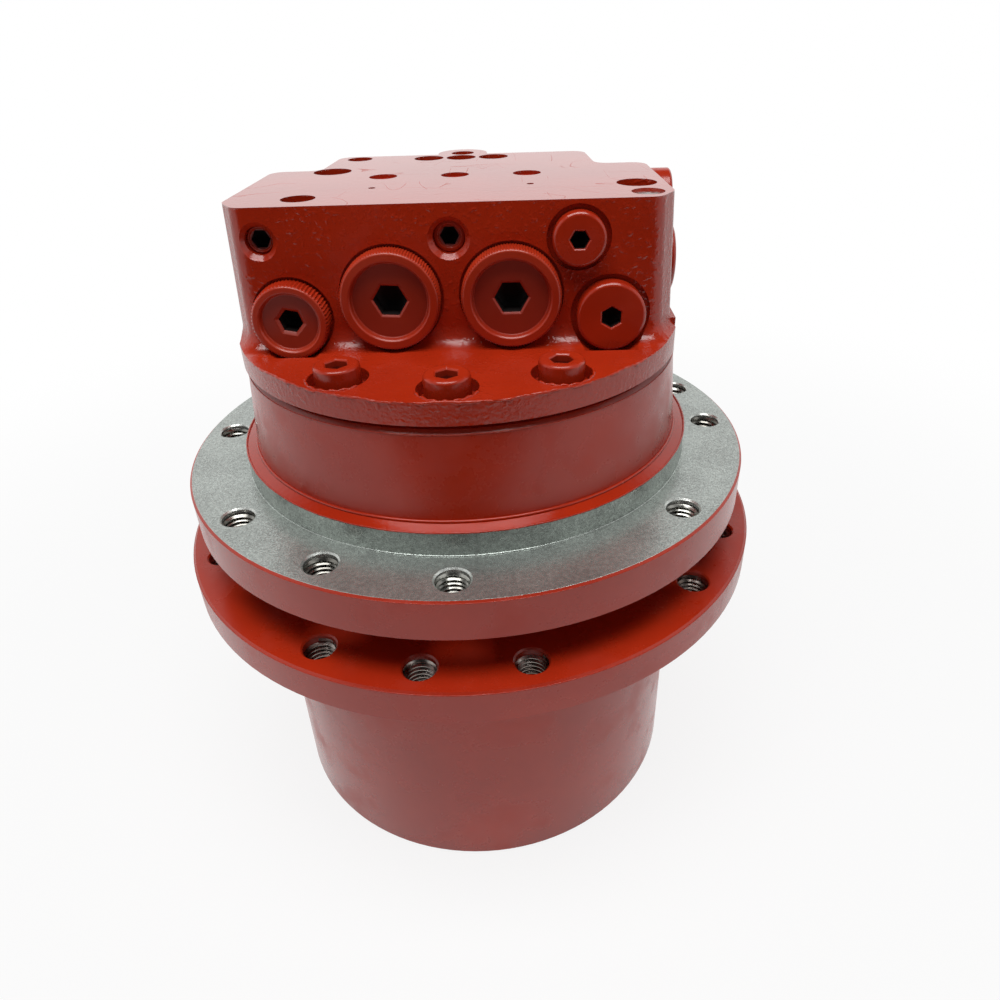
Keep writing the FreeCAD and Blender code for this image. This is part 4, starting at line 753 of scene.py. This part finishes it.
def finished(mesh: bmesh.types.BMesh, name: str, material: bpy.types.Material, body: Body,
             node: str = "", crease: float = 38.0) -> bpy.types.Object:
    """Turn a mesh into a piece of the drive.

    Args:
        mesh: The finished mesh in metres, freed here.
        name: The piece's name.
        material: Its finish.
        body: The body that carries it.
        node: The node that it stands for, if any.
        crease: The angle from which an edge stays sharp, in degrees.

    Returns:
        The piece.
    """
    for face in mesh.faces:
        face.smooth = True
    for edge in mesh.edges:
        if len(edge.link_faces) == 2 and edge.calc_face_angle(0.0) > math.radians(crease):
            edge.smooth = False
    piece = linked(mesh, name, material)
    weighted = piece.modifiers.new("flat faces first", "WEIGHTED_NORMAL")
    weighted.keep_sharp = True
    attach(piece, body.value)
    if node:
        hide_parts(node)
    log.info("made %s with %d faces", name, len(piece.data.polygons))
    return piece


# Pieces
class Shape(ABC):
    """A closed form that is a part of a piece."""

    @abstractmethod
    def shape(self, mesh: bmesh.types.BMesh) -> None:
        """Add the form to a mesh.

        Args:
            mesh: The mesh that receives it.
        """


def shaft(depth: float, radius: float, bevel: float) -> List[Level]:
    """Give the levels of a shank with a bevelled end, up to its seat."""
    return [Level(-depth, radius - bevel), Level(bevel - depth, radius), Level(-0.01, radius)]


@dataclass(frozen=True)
class TransportPlug(Shape):
    """A moulded plug with a knurled rim, a dished face and a hexagon socket, in millimetres."""

    x: float
    z: float
    radius: float
    socket: float
    turn: float
    face: float = -36.5
    seat: float = -29.5
    inner: float = -17.5
    shank: float = 10.0
    rim: float = 2.8
    dish: float = 1.9
    lip: float = 0.6
    grooves: int = 108
    knurl: float = 0.32

    def shape(self, mesh: bmesh.types.BMesh) -> None:
        """Add the plug to a mesh.

        Args:
            mesh: The mesh that receives it.
        """
        height = self.seat - self.face
        floor = height - self.dish
        key = self.socket / 2
        levels = shaft(self.inner - self.seat, self.shank, 0.8) + [
            Level(0.0, self.radius - 0.5, soft=0.3),
            Level(0.6, self.radius, soft=0.2, knurl=self.knurl),
            Level(height - 0.9, self.radius, soft=0.25, knurl=self.knurl),
            Level(height - 0.25, self.radius - 0.45, knurl=self.knurl * 0.4),
            Level(height, self.radius - 0.85, soft=0.2),
            Level(height, self.radius - self.rim, soft=0.25),
            Level(height - 0.55, self.radius - self.rim - 0.45, soft=0.15),
            # The shade values paint shade into the dish floor, the socket's lip and the socket.
            Level(floor, self.radius - self.rim - 0.75, soft=0.3, shade=0.12),
            Level(floor - 0.1, key + self.lip, flats=6, soft=0.12, shade=0.3),
            Level(floor - self.lip * 0.9, key, flats=6, soft=0.08, shade=0.1),
            Level(floor - 1.3, key, flats=6, shade=0.92),
            Level(floor - 5.0, key - 0.15, flats=6, shade=1.0),
            Level(floor - 6.4, key / 2, shade=1.0),
        ]
        turned(mesh, levels, self.grooves * 2, placed(self.x, self.seat, self.z, Facing.FRONT), self.turn)


@dataclass(frozen=True)
class PlainPlug(Shape):
    """A turned plug with a flat face and a hexagon socket, in millimetres."""

    x: float
    y: float
    z: float
    radius: float
    height: float
    shank: float
    depth: float
    socket: float
    facing: Facing = Facing.FRONT
    turn: float = 0.0
    edge: float = 0.7

    def shape(self, mesh: bmesh.types.BMesh) -> None:
        """Add the plug to a mesh.

        Args:
            mesh: The mesh that receives it.
        """
        key = self.socket / 2
        levels = shaft(self.depth, self.shank, 0.7) + [
            Level(0.0, self.radius - 0.3, soft=0.2),
            Level(0.35, self.radius, soft=0.25),
            Level(self.height - self.edge, self.radius, soft=self.edge * 0.5),
            Level(self.height, self.radius - self.edge, soft=self.edge * 0.5),
            Level(self.height, key + 0.35, flats=6, soft=0.15),
            Level(self.height - 0.4, key, flats=6, soft=0.1),
            # The shade values paint shade into the socket.
            Level(self.height - 1.2, key, flats=6, shade=0.9),
            Level(self.height - 4.0, key, flats=6, shade=1.0),
            Level(self.height - 5.0, key / 2, shade=1.0),
        ]
        turned(mesh, levels, 96, placed(self.x, self.y, self.z, self.facing), self.turn)


@dataclass(frozen=True)
class FrontJet(Shape):
    """A socket jet that sits far down in a countersunk hole of the front face, in millimetres; its socket gets painted
    shade.
    """

    x: float
    z: float
    radius: float
    sunk: float = -28.0
    length: float = 8.0
    socket: float = 4.8

    def shape(self, mesh: bmesh.types.BMesh) -> None:
        """Add the jet with its dark socket to a mesh.

        Args:
            mesh: The mesh that receives it.
        """
        reach = self.radius - 0.03
        key = self.socket / 2
        levels = [
            Level(-self.length, reach - 0.5),
            Level(-self.length + 0.5, reach),
            Level(-0.35, reach, soft=0.2),
            Level(0.0, reach - 0.4, soft=0.2),
            Level(0.0, key + 0.95, soft=0.15),
            # The shade values paint shade into the countersink's foot and the hexagon socket.
            Level(-0.55, key + 0.55, soft=0.1, shade=0.1),
            Level(-0.75, key, flats=6, soft=0.05, shade=0.55),
            Level(-1.2, key, flats=6, shade=1.0),
            Level(-4.0, key, flats=6, shade=1.0),
            Level(-4.6, key / 2, shade=1.0),
        ]
        turned(mesh, levels, 96, placed(self.x, self.sunk, self.z, Facing.FRONT), 30.0)


@dataclass(frozen=True)
class BlockScrew(Shape):
    """A socket screw with a rounded head that holds the valve block, in millimetres."""

    angle: float
    turn: float
    seat: float = 181.2
    head_radius: float = 6.5
    head: float = 8.0
    shank: float = 4.0
    length: float = 22.0
    socket: float = 5.8
    knurl: float = 0.07

    def shape(self, mesh: bmesh.types.BMesh) -> None:
        """Add the screw to a mesh.

        Args:
            mesh: The mesh that receives it.
        """
        key = self.socket / 2
        levels = shaft(self.length, self.shank, 0.8) + [
            Level(0.0, self.head_radius - 0.4, soft=0.2),
            Level(0.4, self.head_radius, soft=0.3, knurl=self.knurl),
            Level(self.head - 1.3, self.head_radius, soft=0.2, knurl=self.knurl),
            Level(self.head - 0.55, self.head_radius - 0.08, soft=0.4),
            Level(self.head, self.head_radius - 0.75, soft=0.5),
            Level(self.head - 0.02, key + 0.5, flats=6, soft=0.3),
            Level(self.head - 0.5, key, flats=6, soft=0.2),
            # The shade values paint shade into the socket.
            Level(self.head - 2.2, key, flats=6, shade=0.25),
            Level(self.head - 4.0, key, flats=6, shade=0.6),
            Level(self.head - 5.2, self.socket / 5, shade=0.7),
        ]
        turned(mesh, levels, 120, placed(*polar(SCREW_CIRCLE, self.angle), self.seat), self.turn)


@dataclass(frozen=True)
class ThreadRidge(Shape):
    """The thread crest inside a tapped hole, in millimetres, turned in radians."""

    x: float
    y: float
    low: float
    high: float
    turn: float
    radius: float = 4.98
    depth: float = 0.75
    crest: float = 0.12
    pitch: float = 1.5
    steps: int = 30

    def shape(self, mesh: bmesh.types.BMesh) -> None:
        """Wind the crest, which fades at its top, and add it to a mesh.

        Args:
            mesh: The mesh that receives it.
        """
        own = bmesh.new()
        turns = (self.high - self.low) / self.pitch
        half = self.pitch * 0.46
        tip = self.radius - self.depth
        corners = [own.verts.new((reach, 0.0, level)) for reach, level in (
            (self.radius, -half), (self.radius, half), (tip, self.crest), (tip, -self.crest))]
        face = own.faces.new(corners)
        bmesh.ops.spin(own, geom=[face, *face.edges, *face.verts], cent=(0, 0, 0), axis=(0, 0, 1),
                       dvec=(0, 0, self.pitch / self.steps), angle=2 * math.pi * turns,
                       steps=round(self.steps * turns), use_duplicate=False)
        for point in own.verts:
            left = self.high - self.low + half - point.co.z
            fade = max(0.0, min(1.0, left / (self.pitch * 1.2)))
            reach = math.hypot(point.co.x, point.co.y)
            point.co.xy *= (self.radius - (self.radius - reach) * fade) / reach
        pour(own, mesh, placed(self.x, self.y, self.low) @ Matrix.Rotation(self.turn, 4, "Z"))


def ridges(circle: float, angles: Sequence[float], low: float, high: float) -> Tuple[ThreadRidge, ...]:
    """Give the thread crests of a flange's holes, each turned differently."""
    return tuple(ThreadRidge(*polar(circle, angle), low, high, number * 1.7) for number, angle in enumerate(angles))


@dataclass(frozen=True)
class Bead(Shape):
    """A thin bead of paint along a round edge, in millimetres and degrees.

    wave is how far it wanders, and a bead that doesn't go all the way round thins out at its ends.
    """

    radius: float
    level: float
    thick: float
    start: float = 0.0
    sweep: float = 360.0
    wave: float = 0.0
    step: float = 0.75
    x: float = 0.0
    y: float = 0.0

    def wander(self, angle: float, phase: float) -> float:
        """Give how far the bead lies off its circle at an angle in radians."""
        waves = ((17.0, 1.0), (41.0, 0.7), (97.0, 0.45), (173.0, 0.3))
        return self.wave * sum(share * math.sin(count * (angle + phase)) for count, share in waves) / 2.45

    def shape(self, mesh: bmesh.types.BMesh) -> None:
        """Add the bead to a mesh.

        Args:
            mesh: The mesh that receives it.
        """
        own = bmesh.new()
        whole = self.sweep >= 360.0
        ring = bmesh.ops.create_circle(own, cap_ends=not whole, radius=self.thick, segments=8)["verts"]
        place = Matrix.Translation((self.radius, 0.0, self.level)) @ Matrix.Rotation(math.pi / 2, 4, "X")
        place = Matrix.Rotation(math.radians(self.start), 4, "Z") @ place
        bmesh.ops.transform(own, matrix=place, verts=ring)
        bmesh.ops.spin(own, geom=[*own.faces, *own.edges, *own.verts], cent=(0, 0, 0), axis=(0, 0, 1),
                       dvec=(0, 0, 0), angle=math.radians(self.sweep), steps=round(self.sweep / self.step),
                       use_merge=whole, use_duplicate=False)
        for point in own.verts:
            angle = math.atan2(point.co.y, point.co.x)
            along = (math.degrees(angle) - self.start) % 360.0
            reach = math.hypot(point.co.x, point.co.y) - self.radius
            rise = point.co.z - self.level
            thin = 1.0 if whole else max(0.15, min(1.0, along / 6.0, abs(self.sweep - along) / 6.0))
            fat = thin * (1.0 + self.wander(angle, 2.0) * 0.5 / self.thick)
            radius = self.radius + reach * fat + self.wander(angle, 0.0) * 0.5
            point.co = Vector((math.cos(angle) * radius, math.sin(angle) * radius,
                               self.level + rise * fat + self.wander(angle, 5.0) * 0.6))
        pour(own, mesh, placed(self.x, self.y, 0.0))


@dataclass(frozen=True)
class Piece:
    """A new piece of the drive. node is the node that it stands for, if any."""

    name: str
    finish: str
    node: str
    shapes: Tuple[Shape, ...]
    slot: str = ""
    body: Body = Body.HUB
    crease: float = 38.0

    def build(self, finishes: Finishes) -> None:
        """Make the piece.

        Args:
            finishes: The drive's finishes.
        """
        mesh = bmesh.new()
        for shape in self.shapes:
            shape.shape(mesh)
        finished(mesh, self.name, finishes[self.finish], self.body, self.node, self.crease)


def beads(name: str, finish: str, *shapes: Bead, body: Body = Body.HUB) -> Piece:
    """Give a piece of paint beads."""
    return Piece(name, finish, "", shapes, slot="painted_casting", body=body, crease=60.0)


@dataclass(frozen=True)
class SqueezedSpring:
    """A spring of the frame, copied on its fixed end's side of its axis, in metres."""

    name: str
    node: str
    joint: str
    axis: Tuple[float, float, float]
    fixed: float
    travel: float

    def build(self, finishes: Finishes) -> None:
        """Copy the node's mesh on the fixed end's side, in place of the node.

        Args:
            finishes: The drive's finishes.
        """
        axis = Vector(self.axis)
        mesh = bmesh.new()
        mesh.from_mesh(frame["nodes"][self.node].data)
        bmesh.ops.remove_doubles(mesh, verts=mesh.verts, dist=0.000001)
        beyond = [point for point in mesh.verts if point.co.dot(axis) < 0.0]
        bmesh.ops.delete(mesh, geom=beyond, context="VERTS")
        piece = finished(mesh, self.name, finishes["spring_steel"], Body.HUB, self.node)
        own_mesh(piece)


SCREW_CIRCLE = 62.0
FRONT_SCREWS = (-120.0, -90.0, -60.0)
FRAME_HOLES = tuple(angle - 90.0 for angle in (0, 51.3, -51.3, 92.5, -92.5, 128.7, -128.7, 180, -25.5, 112))
SPROCKET_HOLES = tuple(-76.8 + 40.0 * number for number in range(9)) + (-96.8, -16.8)
PIECES = (
    Piece("pressure_plugs_knurled", "painted_plug", "pressure_port_plugs", (
        TransportPlug(-17.5, 200.1, 14.5, 8.6, 27.0), TransportPlug(17.5, 200.1, 14.5, 8.6, 30.0))),
    Piece("drain_plug_knurled", "painted_plug", "drain_port_plug", (
        TransportPlug(-47.2, 194.7, 11.25, 6.2, 18.0, shank=6.4, rim=2.25, dish=1.6, lip=0.95, grooves=64,
                      knurl=0.42),)),
    Piece("gauge_plug_turned", "painted_fitting", "gauge_port_plug", (
        PlainPlug(36.9, -29.5, 215.6, 7.6, 4.5, 4.8, 12.0, 4.8, turn=30.0),)),
    Piece("speed_plug_turned", "painted_fitting", "speed_port_plug", (
        PlainPlug(46.5, -29.5, 193.6, 10.1, 5.5, 6.4, 12.0, 5.5),)),
    Piece("spool_caps_turned", "painted_fitting", "spool_end_caps", (
        PlainPlug(62.5, -3.0, 202.0, 10.6, 5.8, 9.0, 9.5, 8.0, Facing.RIGHT),
        PlainPlug(-62.5, -3.0, 202.0, 10.6, 5.8, 9.0, 9.5, 8.0, Facing.LEFT))),
    Piece("speed_cap_turned", "painted_fitting", "speed_end_cap", (
        PlainPlug(61.0, 20.0, 216.5, 8.5, 9.5, 6.0, 7.0, 6.0, Facing.RIGHT),)),
    Piece("front_jets_socket", "painted_fitting", "jet_screws", (
        FrontJet(-53.5, 216.7, 4.0), FrontJet(0.3, 216.3, 4.6))),
    Piece("block_screws_socket", "painted_fitting", "block_screws", tuple(
        BlockScrew(angle, turn) for angle, turn in zip((*FRONT_SCREWS, 34.0, 146.0), (14.0, 4.0, 22.0, 8.0, 40.0)))),
    beads("neck_paint_beads", "paint_bead",
          Bead(73.15, 149.1, 0.5), Bead(76.85, 147.75, 0.3, wave=0.12), Bead(70.98, 175.25, 0.2)),
    beads("pilot_corner_bead", "hub_housing", Bead(77.1, 140.05, 0.28)),
    beads("base_edge_bead", "painted_casting", Bead(71.4, 184.8, 0.45, -150.0, 120.0, wave=0.5, step=0.5),
          *(Bead(8.9, 184.95, 0.4, angle - 80.0, 160.0, 0.35, 3.0, *polar(SCREW_CIRCLE, angle))
            for angle in FRONT_SCREWS)),
    beads("frame_flange_bead", "paint_bead", Bead(96.85, 139.25, 0.16)),
    beads("sprocket_flange_bead", "paint_bead", Bead(102.3, 111.3, 0.16), body=Body.DRUM),
    SqueezedSpring("brake_spring_squeezed", "brake_disc_spring", "brake_release", (0.0, 0.0, 1.0), 0.17, 0.0015),
    SqueezedSpring("speed_spring_squeezed", "speed_spring", "speed_shift", (1.0, 0.0, 0.0), 0.057, 0.005),
    SqueezedSpring("spool_spring_right", "spool_springs", "counterbalance_shift", (1.0, 0.0, 0.0), 0.053, 0.005),
    SqueezedSpring("spool_spring_left", "spool_springs", "counterbalance_shift", (-1.0, 0.0, 0.0), 0.053, 0.005),
    Piece("frame_hole_threads", "thread_steel", "", ridges(87.5, FRAME_HOLES, 127.0, 138.4), slot="gear_steel"),
    Piece("sprocket_hole_threads", "dark_thread", "", ridges(92.5, SPROCKET_HOLES, 100.8, 110.0), slot="gear_steel",
          body=Body.DRUM),
)


# Studio
@dataclass
class Studio:
    """A white table in soft light, with a dim room in front of it.

    The pairs say where a change begins and ends: behind and low by the direction in the room, table by
    the depth in metres, further back towards the sides by slant, and glow by the distance from the drive.
    """

    lamp_level: float = 1.15
    lamp_power: float = 10.4
    lamp_size: Tuple[float, float] = (0.95, 0.5)
    lamp_place: Tuple[float, float] = (-0.04, -0.26)
    sky: float = 0.19
    dim: float = 0.02
    behind: Tuple[float, float] = (-0.9, -0.35)
    low: Tuple[float, float] = (0.5, 0.82)
    table: Tuple[float, float] = (-0.38, -0.27)
    slant: float = 0.5
    glow: Tuple[float, float] = (0.15, 0.6)
    white: float = 0.86
    floor_radius: float = 6.0

    def build(self) -> None:
        """Make the world, the floor and the lamp."""
        self._world()
        self._floor()
        lamp = bpy.data.lights.new("overhead", "AREA")
        lamp.energy = self.lamp_power
        lamp.shape = "RECTANGLE"
        lamp.size, lamp.size_y = self.lamp_size
        holder = bpy.data.objects.new("overhead", lamp)
        holder.location = (*self.lamp_place, self.lamp_level)
        bpy.context.scene.collection.objects.link(holder)

    def _rays(self, graph: Graph) -> Tuple[Socket, Socket]:
        """Tell the rays that show the white surroundings, and those of reflections."""
        path = graph.add("ShaderNodeLightPath").outputs
        return graph.math("MAXIMUM", path["Is Camera Ray"], path["Is Transmission Ray"]), path["Is Glossy Ray"]

    def _world(self) -> None:
        """Make the surroundings: white to the camera, a pale band to gloss, soft light to the rest."""
        world = bpy.data.worlds.new("room")
        bpy.context.scene.world = world
        graph = empty_tree(world)
        back = graph.add("ShaderNodeBackground")
        back.inputs["Color"].default_value = (1.0, 1.0, 1.0, 1.0)
        graph.wire(back.outputs[0], graph.add("ShaderNodeOutputWorld").inputs["Surface"])
        seen, glossy = self._rays(graph)
        _, depth, height = graph.along(graph.add("ShaderNodeTexCoord").outputs["Generated"])
        band = graph.math("MULTIPLY", graph.fit(depth, *self.behind), graph.fit(height, *self.low, 1.0, 0.0))
        gloss = graph.mix(glossy, self.sky, graph.fit(band, 0.0, 1.0, self.dim, 1.0))
        graph.wire(graph.mix(seen, gloss, 1.0), back.inputs["Strength"])

    def _floor(self) -> None:
        """Make the white floor, which keeps a soft shadow."""
        mesh = bmesh.new()
        bmesh.ops.create_circle(mesh, cap_ends=True, radius=self.floor_radius, segments=96)
        made = bpy.data.materials.new("floor")
        floor = linked(mesh, "floor", made)
        graph = empty_tree(made)
        x, y, _ = graph.along(graph.place())
        aside = graph.math("MULTIPLY", graph.math("ABSOLUTE", x), self.slant)
        table = graph.fit(graph.math("ADD", y, aside), *self.table)
        seen, glossy = self._rays(graph)
        level = graph.mix(seen, graph.math("MULTIPLY", table, self.white), self.white)
        colour = graph.feed("ShaderNodeCombineColor", {0: level, 1: level, 2: level}, 0)
        matt = graph.feed("ShaderNodeBsdfDiffuse", {"Color": colour}, 0)
        share = graph.math("MULTIPLY", seen, graph.fit(graph.from_axis(x, y), *self.glow, self.white, 1.0))
        share = graph.math("MAXIMUM", share, graph.math("MULTIPLY", glossy, table))
        glow = graph.add("ShaderNodeEmission").outputs[0]
        both = graph.feed("ShaderNodeMixShader", {0: share, 1: matt, 2: glow}, 0)
        graph.wire(both, graph.add("ShaderNodeOutputMaterial").inputs["Surface"])


@dataclass
class PhotoCamera:
    """The camera of the photograph, in metres and degrees."""

    place: Tuple[float, float, float] = (0.0194, -0.2494, 0.2688)
    pitch: float = 31.95
    roll: float = -1.78
    yaw: float = 1.0
    lens: float = 27.414
    shift: Tuple[float, float] = (-0.011, -0.0091)

    def build(self) -> None:
        """Make the camera and use it."""
        pitch, roll = math.radians(self.pitch), math.radians(self.roll)
        ahead = Vector((0.0, math.cos(pitch), -math.sin(pitch)))
        right = Vector((1.0, 0.0, 0.0))
        above = right.cross(ahead)
        side = right * math.cos(roll) + above * math.sin(roll)
        top = above * math.cos(roll) - right * math.sin(roll)
        turn = Matrix.Rotation(math.radians(self.yaw), 3, "Z") @ Matrix((side, top, -ahead)).transposed()
        data = bpy.data.cameras.new("photo_camera")
        data.lens = self.lens
        data.sensor_width = 36.0
        data.shift_x, data.shift_y = self.shift
        data.clip_start = 0.01
        camera = bpy.data.objects.new("photo_camera", data)
        camera.matrix_world = Matrix.Translation(self.place) @ turn.to_4x4()
        bpy.context.scene.collection.objects.link(camera)
        bpy.context.scene.camera = camera


def dress_nodes(finishes: Finishes) -> None:
    """Give every node of the frame its finish.

    Args:
        finishes: The drive's finishes.
    """
    slots = {part["node"]: part["material_slot"] for part in frame["record"]["subparts"]}
    special = {"frame_hub": "hub_housing", "drum_housing": "drum_housing"}
    for name, node in frame["nodes"].items():
        finish = finishes[special.get(name, slots[name])]
        for slot in node.material_slots:
            slot.material = finish
        log.info("dressed %s", name)


def main() -> None:
    """Build the whole drive and its studio."""
    logging.basicConfig(level=logging.INFO)
    bpy.context.scene.view_settings.view_transform = "Standard"
    PhotoCamera().build()
    Studio().build()
    Effects().build()
    finishes = Finishes()
    dress_nodes(finishes)
    for piece in PIECES:
        piece.build(finishes)


if __name__ == "__main__":
    main()
